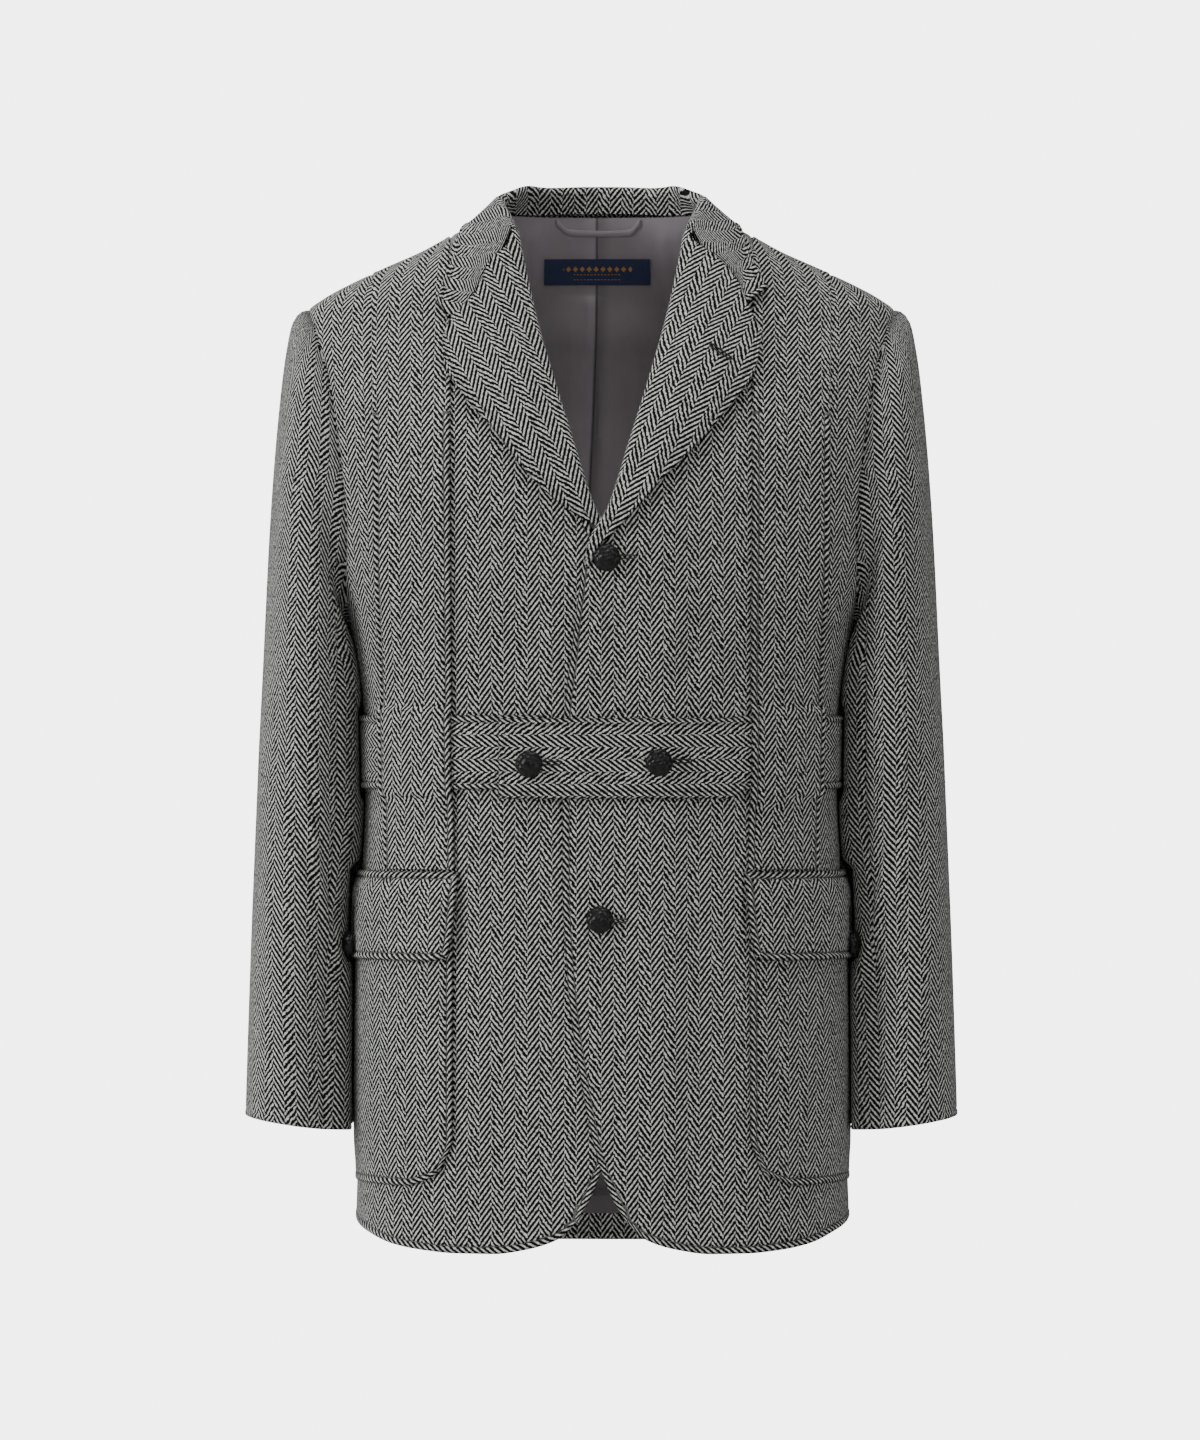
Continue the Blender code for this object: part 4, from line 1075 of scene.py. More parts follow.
# %% Back
def back_grid():
    """The coarse points of the back, from the left side to the right."""
    left = side_curve(1.0)
    turn = np.linspace(0.0, math.pi, NECK_CELLS + 1)
    neck = [(NECK_POINT[0] * math.cos(t), 0.079 * math.sin(t),
             NECK_POINT[2] + (NECK_BACK - NECK_POINT[2]) * math.sin(t)) for t in turn]
    shoulder = thread(shoulder_seam(SHOULDER_CELLS), FRONT_CELLS)[::2]
    top = np.concatenate([shoulder[::-1], on_body(neck)[1:-1], mirrored(shoulder, -1)])
    across = np.cos(np.linspace(0.0, math.pi, len(top)))
    hem_x = left[0, 0] * across
    bottom = at_front(hem_x, hem_height(hem_x), 1.0)
    bottom[0], bottom[-1] = left[0], mirrored(left[0], -1)
    return relaxed(patch(bottom, top, left, mirrored(left, -1)))


coarse_back = back_grid()
grid = on_body(refined(coarse_back, 0.0048, ("bottom",)))
turned = from_edges(grid, ("bottom",)) < HEM_TURN
laid("back", grid, -STRAP_SINK * under_strap(grid, 1.0), face=1.0, finished=("bottom",),
     sewn=("left", "right", "top"), facing=turned)

# %% [markdown]
# ## The back's lining
# Lining is cut wider than the cloth, so that the shoulders can move. The spare width
# lies in one sharp fold down the middle of the back, steep on one side, and in softer
# ones beside it that spread downward. At the hem it ends in a loose tuck.

# %% Lining
PLEAT = 0.0052
LINING_FOOT = 0.60
SOFT_FOLDS = ((-0.050, 0.0034, 0.0044), (0.049, 0.0037, 0.0048), (0.060, 0.0026, 0.0037),
              (-0.062, 0.0026, 0.0041), (-0.020, 0.0013, 0.0056), (0.022, 0.0014, 0.0056))


def lining_relief(p):
    """How far the lining stands in from the back at its folds."""
    x, z = p[..., 0], p[..., 2]
    middle = -0.003 + 0.018 * ramp(-0.02, -0.30, z) * -0.5
    away = x - middle
    pleat = PLEAT * np.where(away < 0.0, np.exp(away / 0.012), np.exp(-away / 0.0008))
    pleat = pleat - 0.0012 * bell((away - 0.0030) / 0.0014)
    soft = sum(rise * bell((x - at * (1.0 - 1.2 * z)) / width) for at, rise, width in SOFT_FOLDS)
    beside = ramp(0.038, 0.046, np.abs(x)) * ramp(0.020, 0.004, z)
    tuck = 0.0034 * bell((z + 0.7045) / 0.0042)
    below = ramp(-0.030, -0.040, z)
    return pleat * below + soft * np.maximum(beside, ramp(-0.030, -0.060, z)) + tuck


rows = np.concatenate([[LINING_FOOT, 0.68, 0.76, 0.84, 0.92], np.arange(1.0, len(coarse_back))])
grid = on_body(refined(read_rows(coarse_back, rows), 0.0046, ()))
inside = 0.0020 * ramp(0.014, 0.006, from_edges(grid, ("left", "right")))
inside = np.maximum(inside, 0.0014 * under_strap(grid, 1.0))
laid("lining_back", grid, -(CLOTH + LINING_LIFT) - lining_relief(grid) - inside, face=1.0,
     sewn=("left", "right"), skins=(pleated_lining, pleated_lining), thickness=LINING_CLOTH)

# %% [markdown]
# ## Straps and belt
# The straps are the mark of this kind of jacket: bands sewn over the fronts and back,
# with the belt passing under them. Each lies on the cloth below and climbs over the
# belt. Their long edges are stitched, which makes them stand up like a thin cord.

# %% Straps
def strap_grid(face, rows, share):
    """A strap's points: straight up the torso, then in to the shoulder seam."""
    table = np.array(STRAPS)
    first = 1 if face < 0.0 else 3
    sides = steady_curve(table[:, 0], table[:, first:first + 2], rows)
    x = sides[:, :1] + (sides[:, 1:] - sides[:, :1]) * share
    rise = np.clip(1.0 - rows / STRAP_BEND, 0.0, 1.0)[:, None]
    z = np.where(rise > 0.0, STRAP_BEND + (ridge_height(x) - STRAP_BEND) * rise, rows[:, None])
    if face > 0.0:
        z = np.maximum(z, hem_height(x) + 0.003)
    grid = at_front(x, z, face)
    grid[-1, :, 1] = face * SEAM
    return grid


def over_tab(p):
    """Where the left front strap also climbs over the belt's low end."""
    low = ramp(BELT_BOTTOM - TAB_DROP - 0.008, BELT_BOTTOM - TAB_DROP - 0.003, p[..., 2])
    return low * ramp(BELT_BOTTOM + 0.012, BELT_BOTTOM, p[..., 2]) * ramp(0.136, 0.122, p[..., 0])


STRAP_FOOT = {-1.0: STRAP_BOTTOM, 1.0: -0.731}
STRAP_WIDTH = 0.052
share = spaced(STRAP_WIDTH, 0.004, True, True) / STRAP_WIDTH
for where, face in (("front", -1.0), ("back", 1.0)):
    rows = np.linspace(STRAP_FOOT[face], 0.0, round(-STRAP_FOOT[face] / 0.0022) + 1)
    grid = strap_grid(face, rows, share)
    z = grid[..., 2]
    over_belt = ramp(BELT_BOTTOM - 0.008, BELT_BOTTOM - 0.003, z)
    over_belt *= 1.0 - ramp(BELT_TOP + 0.003, BELT_TOP + 0.008, z)
    flat = ramp(-0.17, -0.06, z)
    for side, hand in SIDES:
        over = np.maximum(over_belt, over_tab(grid)) if (face, side) == (-1.0, 1) else over_belt
        height = LIFT + CLOTH + over * (LIFT + BELT_CLOTH)
        laid(f"strap_{where}_{hand}", grid, height + (0.0006 - height) * flat, side,
             welt=1.0 - 0.8 * flat, finished=("left", "right"), skins=(tweed, tweed), face=face,
             shift=(0.0062, 0.0017), thickness=CLOTH - 0.0007 * flat,
             welt_shows=z < -0.13, shadow=(1.0 - flat) ** 2)

# %% Belt
BELT_STEPS = 460


def belt_sheet():
    """The belt's points, how far each is lapped, and metres along it."""
    middle = (BELT_TOP + BELT_BOTTOM) / 2.0
    depth = body_row(np.array(middle))[1]
    start = math.atan2(-depth, -BELT_START)
    finish = math.atan2(-depth * 0.96, -BELT_END) - 2.0 * math.pi
    turn = np.linspace(start, finish, BELT_STEPS + 1)
    lapped = (turn < -2.0 * math.pi) * (1.0 - ramp(0.35, 0.55, np.cos(turn)))
    dropped = (turn < -2.0 * math.pi) * (1.0 - ramp(0.645, 0.715, np.cos(turn)))
    rows = []
    for share in spaced(BELT_TOP - BELT_BOTTOM, 0.004, True, True) / (BELT_TOP - BELT_BOTTOM):
        z = BELT_BOTTOM - TAB_DROP * dropped
        z = z + (BELT_TOP - TAB_SLANT * dropped - z) * share
        rows.append(np.stack(ring(turn, z) + (z,), axis=-1))
    return np.stack(rows), LIFT + BELT_CLOTH + (BELT_LAP - LIFT) * lapped


grid, height = belt_sheet()
middle_row = run_along(grid, 1)[len(grid) // 2]
along = np.stack([grid[..., 2] - BELT_BOTTOM + 0.0045, middle_row + 0.0 * grid[..., 2]], axis=-1)
laid("belt", grid, height[None, :], welt=0.9, finished=("bottom", "top", "left", "right"),
     skins=(tweed, tweed), thickness=BELT_CLOTH, uv=along)
print("belt length, m:", round(float(middle_row[-1]), 3))

# %% [markdown]
# ## Patch pockets and flaps
# A patch pocket is a square of cloth with round lower corners, sewn on three sides,
# here wrapped round the hip. Its cloth lines up with the jacket's stripes. The flap
# hangs over its mouth and stands off it by the pocket's own thickness.

# %% Pockets
HIP_TURNS = np.linspace(-math.pi / 2.0, math.pi / 2.0, 400)


def around(flat):
    """Points on the torso at a distance round it from the pocket's inner edge."""
    points = np.empty(flat.shape[:-1] + (3,))
    for place in np.ndindex(flat.shape[:-1]):
        reach, z = flat[place]
        x, y = ring(HIP_TURNS, z)
        run = np.concatenate([[0.0], np.cumsum(np.hypot(np.diff(x), np.diff(y)))])
        front = len(run) // 2
        at = np.interp(POCKET_INNER, x[:front], run[:front]) + reach
        points[place] = (np.interp(at, run, x), np.interp(at, run, y), z)
    return points


def rounded_patch(width, top, bottom, corner, columns, rows):
    """A flat outline with round lower corners, as (reach, height) points."""
    bend = corner * (1.0 - math.sqrt(0.5))
    left_foot, right_foot = (bend, bottom + bend), (width - bend, bottom + bend)
    left = thread([left_foot, (0.0, bottom + corner), (0.0, top)], rows)
    right = thread([right_foot, (width, bottom + corner), (width, top)], rows)
    floor = thread([left_foot, (corner, bottom), (width - corner, bottom), right_foot], columns)
    head = thread([(0.0, top), (width, top)], columns)
    return patch(floor, head, left, right)


def pocket_swell(flat):
    """How far the pocket's bag stands away between its sewn edges."""
    across = np.sin(math.pi * np.clip(flat[..., 0] / POCKET_WIDTH, 0.0, 1.0))
    share = (flat[..., 1] - POCKET_BOTTOM) / (POCKET_TOP - POCKET_BOTTOM)
    return POCKET_SWELL * across ** 0.6 * ramp(0.0, 0.35, share)


def flap_height(flat):
    """The flap's outer face: over the pocket, and down on the jacket at its top."""
    over_pocket = 1.0 - ramp(POCKET_TOP, FLAP_TOP, flat[..., 1])
    pocket_face = POCKET_LIFT + CLOTH + pocket_swell(flat)
    return LIFT + CLOTH + over_pocket * (pocket_face + 3.0 * TOUCH - LIFT)


outline = rounded_patch(POCKET_WIDTH, POCKET_TOP, POCKET_BOTTOM, POCKET_CORNER, 12, 7)
flat_pocket = refined(outline, 0.0045, ("left", "right", "bottom"))
outline = rounded_patch(POCKET_WIDTH + 2.0 * FLAP_OVERHANG, FLAP_TOP, FLAP_TOP - FLAP_DROP,
                        FLAP_CORNER, 12, 3)
flat_flap = refined(outline, 0.0045, ("left", "right", "bottom", "top"))
flat_flap[..., 0] -= FLAP_OVERHANG
flap_share = (flat_flap[..., 1] - (FLAP_TOP - FLAP_DROP)) / FLAP_DROP
lean = (0.0045 * flap_share - 0.0010) * ramp(0.070, 0.0, flat_flap[..., 0])
flap_lift = 0.0026 * bell(np.clip(flat_flap[..., 0], 0.0, 1.0) / 0.030)
flap_rise = flap_height(flat_flap) + flap_lift * ramp(0.9, 0.1, flap_share)
flat_flap[..., 0] -= lean
low_side = (ramp(0.030, 0.004, flat_pocket[..., 1] - POCKET_BOTTOM)
            * ramp(0.050, 0.100, flat_pocket[..., 0]))
pocket_rise = POCKET_LIFT + CLOTH + pocket_swell(flat_pocket) - 0.0014 * low_side
pocket_grid, flap_grid = around(flat_pocket), around(flat_flap)
for side, hand in SIDES:
    laid(f"pocket_{hand}", pocket_grid, pocket_rise, side, welt=1.2 - 0.9 * low_side,
         thickness=CLOTH - 0.0011 * low_side, finished=("left", "right", "bottom"),
         shift=(0.0030, -0.0012), welt_shows=True)
    laid(f"flap_{hand}", flap_grid, flap_rise, side, welt=1.2,
         finished=("left", "right", "bottom", "top"), shift=(0.0004, 0.0018),
         welt_shows=True)

# %% [markdown]
# ## Lapels
# A lapel is the front's own facing, folded back along the roll line and pressed only
# lightly, so the fold is a round one. It is drawn flat on the torso first, between
# the roll line and its outer edge, and then lifted off it, the roll added as a half
# turn. Its stripes lean, because the cloth is folded over at a slant.

# %% Folded cloth
BENDS = np.linspace(0.0, math.pi, 13)
LAPEL_LEAN = math.radians(25.0)


def fold_frame(line, toward):
    """The torso's normal and the in-cloth direction past a fold line."""
    normal = body_normal(line)
    outward = np.cross(np.gradient(line, axis=0), normal)
    outward /= np.linalg.norm(outward, axis=1, keepdims=True)
    return normal, outward * np.sign(np.sum(outward * np.asarray(toward), axis=1, keepdims=True))


def rolled(fold_in, outward, normal, fall, leg, base, tight=1.0, tall=1.0):
    """Cross-sections of a fold: an inner leg, a half round, then the fall."""
    radius, centre = ROLL_RADIUS * tight, ROLL_CENTRE * tight
    reach = radius * tall
    columns = [fold_in + leg * share + normal * (centre - radius + base)
               for share in (1.0, 0.83, 0.66, 0.5, 0.33, 0.16)]
    for bend in BENDS:
        columns.append(fold_in + outward * reach * math.sin(bend)
                       + normal * (centre - radius * math.cos(bend) + base))
    return np.concatenate([np.stack(columns, axis=1), fall], axis=1)


def folded(node, grid, outward, side, edge, sewn, welt, uv, cut=None):
    """A rolled sheet of tweed with its edges finished; its fall looks outward."""
    normal = grid_normals(grid)
    if np.dot(normal[len(grid) // 2, -2], outward) < 0.0:
        normal = -normal
    dip = SEAM_DEPTH * bell(sewn / SEAM_WIDTH)
    outer = grid + normal * (edge_relief(edge, welt) - dip)[..., None]
    inner = grid + normal * (INNER_TURN * turned_edge(edge) - CLOTH - dip)[..., None]
    outer, inner = mirrored(outer, side), mirrored(inner, side)
    # painted shade at the fold's finished edges and its sewn seam
    piece = cloth_piece(f"cloth_{node}", outer, inner, uv, (tweed, tweed), None,
                        painted_shade(edge, sewn))
    dress(piece, node, outer, cut or extent(uv))


def gorge_line(side, cells):
    """The seam between lapel and collar, from the fold to the notch."""
    fold_end = at_front(front_edge_x(FOLD_TOP) + ROLL_RADIUS, FOLD_TOP)
    return thread([fold_end] + [at_front(x, z) for x, z in GORGE[side]], cells)


print("bends in a roll:", len(BENDS))

# %% Lapels
LAPEL_LENGTH, LAPEL_WIDTH = 0.220, 0.062
GORGE_SHARE = GORGE_CELLS / (GORGE_CELLS + 2.0)
LAPEL_BULGE = 0.0022

# on each side, where a lapel's foot starts, its edge there, how long it takes to open
# out, and how high the closed foot lies
FOOT = {1: -0.2400, -1: -0.2110}
FOOT_EDGE = {1: ((-0.0080, -0.2400), (-0.0015, -0.2262), (0.0070, -0.2180)),
             -1: ((0.0020, -0.2125), (0.0095, -0.2085))}
FOOT_LENGTH = {1: 0.026, -1: 0.010}
FOOT_LIE = 0.0014


def lapel_shares():
    """Where a lapel's rows and columns lie, from 0 to 1, one of them at the notch."""
    rows = spaced(LAPEL_LENGTH, 0.0036, False, True) / LAPEL_LENGTH
    columns = spaced(LAPEL_WIDTH, 0.0032, False, True) / LAPEL_WIDTH
    columns[np.argmin(np.abs(columns - GORGE_SHARE))] = GORGE_SHARE
    return rows, columns


def lapel(side):
    """One lapel, rolled over the front's upper edge."""
    v, u = lapel_shares()
    heights = FOOT[side] + (FOLD_TOP - FOOT[side]) * v
    tight = (0.04 + 0.96 * ramp(0.0, FOOT_LENGTH[side], heights - FOOT[side]))[:, None]
    roll = at_front(front_edge_x(heights), heights)
    normal, outward = fold_frame(roll, (-1.0, 0.0, 0.0))
    fold_in = on_body(roll - outward * ROLL_RADIUS * tight)
    edge = thread([at_front(x, z) for x, z in FOOT_EDGE[side] + LAPEL_EDGE[side][1:]], v)
    in_gorge = u <= GORGE_SHARE + 1e-9
    gorge = gorge_line(side, u[in_gorge] / GORGE_SHARE)
    notch = thread([gorge[-1], edge[-1]], (u[~in_gorge] - GORGE_SHARE) / (1.0 - GORGE_SHARE))
    top = np.concatenate([gorge, notch])
    foot = thread([fold_in[0], edge[0]], u)
    flat = on_body(patch(foot, top, fold_in, edge, v, u))[:, 1:]
    base = lap_height(flat, side) + drape(mirrored(flat, side))
    fold_base = (lap_height(fold_in, side) + drape(mirrored(fold_in, side)))[:, None]
    away = np.linalg.norm(flat - fold_in[:, None], axis=-1)
    share = away / np.maximum(away[:, -1:], 0.012)
    rise = ROLL_TOP + (LAPEL_LIFT - ROLL_TOP) * ramp(0.0, 0.03, away)
    bulge = np.sin(math.pi * np.clip(share, 0.0, 1.0)) * ramp(0.2, 0.6, v)[:, None]
    rise = rise + LAPEL_BULGE * bulge
    lie = FOOT_LIE * (1.0 - tight)
    fall = flat + body_normal(flat) * (rise * tight + lie + base)[..., None]
    leg = -outward * LAPEL_LEG * tight
    grid = rolled(fold_in, outward, normal, fall, leg, fold_base + lie, tight)
    return grid, lapel_uv(grid, flat, fold_in, outward), lapel_edges(grid, u)


def lapel_uv(grid, flat, fold_in, outward):
    """Metres of cloth on a lapel, its stripes leaning outward."""
    place = body_uv(flat)
    start = body_uv(fold_in)[:, None]
    past = body_uv(on_body(fold_in + outward * 0.004))[:, None] - start
    past /= np.linalg.norm(past, axis=-1, keepdims=True)
    turned = grid.shape[1] - flat.shape[1]
    reach = run_along(grid, 1)[:, turned - 1:turned] - run_along(grid, 1)[:, :turned]
    place = np.concatenate([start + past * reach[..., None], place], axis=1)
    c, s = math.cos(LAPEL_LEAN), math.sin(LAPEL_LEAN)
    x, y = place[..., 0], place[..., 1]
    return np.stack([c * x - s * y, s * x + c * y], axis=-1)


def past_gorge(grid, in_gorge):
    """Which columns of a rolled sheet lie past the gorge seam, at the open notch."""
    turned = grid.shape[1] - len(in_gorge) + 1
    return np.arange(grid.shape[1]) >= turned + np.count_nonzero(in_gorge) - 1


def lapel_edges(grid, u):
    """Distances from a lapel's finished edges and from its sewn one."""
    across, upward = run_along(grid, 1), run_along(grid, 0)
    from_side, from_top = across[:, -1:] - across, upward[-1:] - upward
    notched = past_gorge(grid, u <= GORGE_SHARE)
    edge = np.where(notched, np.minimum(from_side, from_top), from_side)
    return edge, np.where(notched, 1.0, from_top)


for side, hand in SIDES:
    grid, uv, (edge, sewn) = lapel(side)
    folded(f"lapel_{hand}", grid, (0.0, -1.0, 0.0), side, edge, sewn, 0.8, uv * (side, 1.0))

# %% [markdown]
# ## Collar
# The collar has two parts: the stand, which goes up round the neck, and the leaf,
# which turns over it and falls outside. Its stripes cross the neck's line, since the
# strip is cut the other way of the cloth. Its ends meet the lapels at the gorge.

# %% Collar leaf
COLLAR_CELLS = 20
COLLAR_COLUMNS = GORGE_CELLS + 1
NECK_SEAM = [(0.0600, -0.046, 0.0062), (0.0705, -0.028, 0.0150), (NECK_POINT[0], 0.0, 0.0238),
             (0.0700, 0.038, 0.0240), (0.0420, 0.068, 0.0238), (0.0, 0.080, 0.0236)]


def neck_line(half, cells):
    """A curve round the neck from its half, the wearer's left end to the right."""
    half = np.asarray(half, float)
    return on_body(thread(np.concatenate([half, mirrored(half[-2::-1], -1)]), cells))


def collar_flat(fold_in):
    """The collar leaf's coarse points on the torso, from the fold to its edge."""
    ends = {}
    for side in (1, -1):
        line = np.concatenate([gorge_line(side, GORGE_CELLS), [at_front(*COLLAR_TIP[side])]])
        ends[side] = mirrored(line, side)
    half = np.array(COLLAR_EDGE)
    whole = np.concatenate([[ends[1][-1]], half, mirrored(half[-2::-1], -1), [ends[-1][-1]]])
    edge = on_body(thread(whole, COLLAR_CELLS))
    ends[1][0], ends[-1][0] = fold_in[0], fold_in[-1]
    return np.swapaxes(relaxed(patch(fold_in, edge, ends[1], ends[-1])), 0, 1)


def collar_sheet():
    """The leaf's fine points, flat on the torso, and its columns' shares."""
    start = (FOLD[0][0] - 0.0006, FOLD[0][1] - 0.0010, FOLD_TOP + 0.0001)
    fold = neck_line((start,) + FOLD[1:], COLLAR_CELLS)
    _, outward = fold_frame(fold, UPWARD)
    coarse = collar_flat(on_body(fold - outward * ROLL_RADIUS))
    rows = fine_places(coarse, 0, 0.0038, ("bottom", "top"), ("bottom", "top"))
    columns = fine_places(coarse, 1, 0.0032, ("left", "right"), ("right",))
    columns[np.argmin(np.abs(columns - GORGE_CELLS))] = GORGE_CELLS
    fine = read_rows(np.swapaxes(read_rows(coarse, rows), 0, 1), columns)
    return on_body(np.swapaxes(fine, 0, 1)), rows / COLLAR_CELLS, columns


# the back's edge lies this much lower, and the leaf swells, is drawn taut at the side of
# the neck, and stands this much taller at the corners of its roll
EDGE_SINK, LEAF_SWELL, LEAF_TAUT, CORNER_RISE = 0.0034, 0.0016, 0.0032, 1.15

flat, round_neck, places = collar_sheet()
fold_in = flat[:, 0]
normal, outward = fold_frame(fold_in, UPWARD)
share = places[None, 1:] / COLLAR_COLUMNS
from_back = np.abs(round_neck - 0.5)
edge_lift = LAPEL_LIFT - EDGE_SINK * ramp(0.47, 0.40, from_back)[:, None]
swell = LEAF_SWELL * ramp(0.0, 0.14, from_back) - LEAF_TAUT * bell((from_back - 0.27) / 0.08)
rise = ROLL_TOP + (edge_lift - ROLL_TOP) * share + swell[:, None] * np.sin(math.pi * share)
fall = flat[:, 1:] + body_normal(flat[:, 1:]) * (rise + drape(flat[:, 1:]))[..., None]
over_stand = ramp(0.37, 0.28, from_back)[:, None]
to_seam = neck_line(NECK_SEAM, round_neck) + (0.0, 0.0, 0.0012) - fold_in
leg = over_stand * to_seam - (1.0 - over_stand) * outward * COLLAR_LEG
tall = 1.0 + CORNER_RISE * bell((from_back - 0.225) / 0.065)[:, None]
grid = rolled(fold_in, outward, normal, fall, leg, drape(fold_in)[:, None], 1.0, tall)
across, upward = run_along(grid, 1), run_along(grid, 0)
from_edge, from_ends = across[:, -1:] - across, np.minimum(upward, upward[-1:] - upward)
eased = run_along(grid * (1.0, 0.15, 1.0), 0)
uv = np.stack([eased - eased[[len(grid) // 2]], from_edge], axis=-1)
open_end = past_gorge(grid, places <= GORGE_CELLS)
edge = np.where(open_end, np.minimum(from_edge, from_ends), from_edge)
sewn = np.where(open_end, 1.0, from_ends)
folded("collar_leaf", grid, (0.0, 1.0, 0.0), 1, edge, sewn, 0.8, uv,
       (float(np.ptp(upward)), float(np.ptp(across))))

# %% Collar stand
fold = neck_line(FOLD, COLLAR_CELLS)
_, outward = fold_frame(fold, UPWARD)
lower = neck_line(NECK_SEAM, COLLAR_CELLS)
upper = on_body(fold - outward * (ROLL_RADIUS + 0.0006))
coarse = on_body(np.stack([lower, (lower + upper) / 2.0, upper]))[:, 3:-3]
grid = on_body(refined(coarse, 0.0026))
laid("collar_stand", grid, 0.0, sewn=("bottom",), skins=(tweed, tweed), uv=unrolled(grid))

# %% [markdown]
# ## Sleeves
# A tailored sleeve is two pieces, a wide top and a narrow under one, joined by two
# seams, and it bends forward at the elbow. Its rings go from the armhole's line to
# the cuff. The cloth buckles a little below the armhole and inside the elbow.

# %% Sleeve rings
JOIN = (0.0, 0.35, 0.65, 0.88, 1.0)
CUFF_TURN = 0.040


def sleeve_rings(angles):
    """The sleeve's outer face, from the armhole to the cuff, at angles round it."""
    loop = armhole(angles)
    rings = [loop + (0.0004, 0.0, 0.0)]
    for step, (crown_x, crown_z, pit_x, pit_z, depth, shift) in enumerate(SLEEVE):
        crown, pit = np.array([crown_x, 0.0, crown_z]), np.array([pit_x, 0.0, pit_z])
        ring = ((crown + pit) / 2.0 + np.outer(np.cos(angles), (crown - pit) / 2.0)
                + np.outer(np.sin(angles), (0.0, -depth, 0.0)) + (0.0, shift, 0.0))
        blend = JOIN[min(step + 1, len(JOIN) - 1)]
        reach = (crown_x - SLEEVE[0][0] + 0.004) * (0.65 + 0.35 * np.cos(angles))
        rings.append((1.0 - blend) * (loop + np.outer(reach, (1.0, 0.0, 0.0))) + blend * ring)
    return np.stack(rings)


SLEEVE_LENGTH = run_along(sleeve_rings(np.linspace(0.0, 2.0 * math.pi, 41)), 0).mean(axis=1)
sleeve_rows = np.interp(spaced(SLEEVE_LENGTH[-1], 0.0042, False, True), SLEEVE_LENGTH,
                        np.arange(len(SLEEVE_LENGTH)))
print("sleeve length, m:", round(float(SLEEVE_LENGTH[-1]), 3), "rows:", len(sleeve_rows))

# %% Sleeve folds
# angle round and metres down from the crown, half sizes of each, slant, and height
BUCKLES = (
    (1.75, 0.250, 0.50, 0.016, 0.030, 0.0028), (1.55, 0.300, 0.55, 0.014, -0.020, 0.0024),
    (1.90, 0.215, 0.40, 0.014, 0.030, 0.0022), (2.30, 0.275, 0.40, 0.013, 0.020, 0.0024),
    (0.95, 0.110, 0.40, 0.030, -0.060, 0.0018), (1.20, 0.420, 0.45, 0.030, 0.050, 0.0016),
    (-1.9, 0.240, 0.50, 0.016, 0.030, 0.0024), (-1.4, 0.310, 0.50, 0.020, 0.020, 0.0020),
    (3.10, 0.200, 0.60, 0.018, 0.000, 0.0020), (0.60, 0.330, 0.40, 0.040, 0.040, 0.0014),
)


def buckled(angle, down):
    """Height of the sleeve's soft folds."""
    height = np.zeros(np.broadcast_shapes(angle.shape, down.shape))
    for at, low, wide, tall, slant, rise in BUCKLES:
        turn = (angle - at + math.pi) % (2.0 * math.pi) - math.pi
        height += rise * bell(turn / wide) * bell((down - low - slant * turn) / tall)
    return height * ramp(0.02, 0.09, down)


SLEEVE_TABLE = np.array(SLEEVE)
ROUND = np.linspace(-math.pi, math.pi, 361)


def sleeve_section(z):
    """Centre, half width, half depth and forward shift of a sleeve cut level at z."""
    crown_x, crown_z, pit_x, pit_z, depth, shift = SLEEVE_TABLE[::-1].T
    outer, inner = np.interp(z, crown_z, crown_x), np.interp(z, pit_z, pit_x)
    middle = (crown_z + pit_z) / 2.0
    return ((outer + inner) / 2.0, (outer - inner) / 2.0, np.interp(z, middle, depth),
            np.interp(z, middle, shift))


def sleeve_girth_table():
    """Distance round the sleeve from its outer line, by height and direction."""
    _, half, depth, _ = sleeve_section(HEIGHTS)
    points = np.stack([half[:, None] * np.cos(ROUND), depth[:, None] * np.sin(ROUND)], axis=-1)
    run = run_along(points, 1)
    return run - run[:, [len(ROUND) // 2]]


SLEEVE_GIRTH = sleeve_girth_table()


def sleeve_across(p, half_turn):
    """Metres round the sleeve from its outer line, or from its inner one."""
    centre, half, depth, shift = sleeve_section(p[..., 2])
    turn = np.arctan2((shift - p[..., 1]) / depth, (p[..., 0] - centre) / half)
    if half_turn:
        turn = (turn + 2.0 * math.pi) % (2.0 * math.pi) - math.pi
    return lookup(SLEEVE_GIRTH, ROUND, p[..., 2], turn)


def cover(p):
    """How thick the belt, the pocket and its flap lie on the side of the torso."""
    z = p[..., 2]
    belt = (LIFT + BELT_CLOTH + 0.0008) * ramp(-0.410, -0.400, z) * ramp(-0.334, -0.344, z)
    pocket = 0.0048 * ramp(POCKET_BOTTOM - 0.008, POCKET_BOTTOM, z) * ramp(-0.455, -0.470, z)
    flap = 0.0086 * ramp(FLAP_TOP - FLAP_DROP - 0.008, FLAP_TOP - FLAP_DROP, z)
    return np.maximum(np.maximum(belt, pocket), flap * ramp(-0.448, FLAP_TOP, z))


def settled(grid, angles, down):
    """A sleeve's points, its inner side hanging against the torso."""
    slope = body_slope(grid)
    size = np.linalg.norm(slope, axis=-1)
    floor = (cover(grid) + drape(grid) + 0.0004) * ramp(0.0, 0.05, down)
    spare = body_field(grid) / size - floor
    behind = ramp(-0.15, 0.35, angles % (2.0 * math.pi) - math.pi)
    eased = np.maximum(spare, 0.0) * ramp(0.001 + 0.019 * behind, 0.040 + 0.020 * behind, spare)
    far = 0.35 + 0.80 * behind
    near = ramp(far + 0.75, far, np.abs(angles % (2.0 * math.pi) - math.pi))
    move = np.where(spare < 0.055, eased - spare, 0.0) * near * ramp(0.0, 0.03, down)
    return grid + slope / size[..., None] * move[..., None]


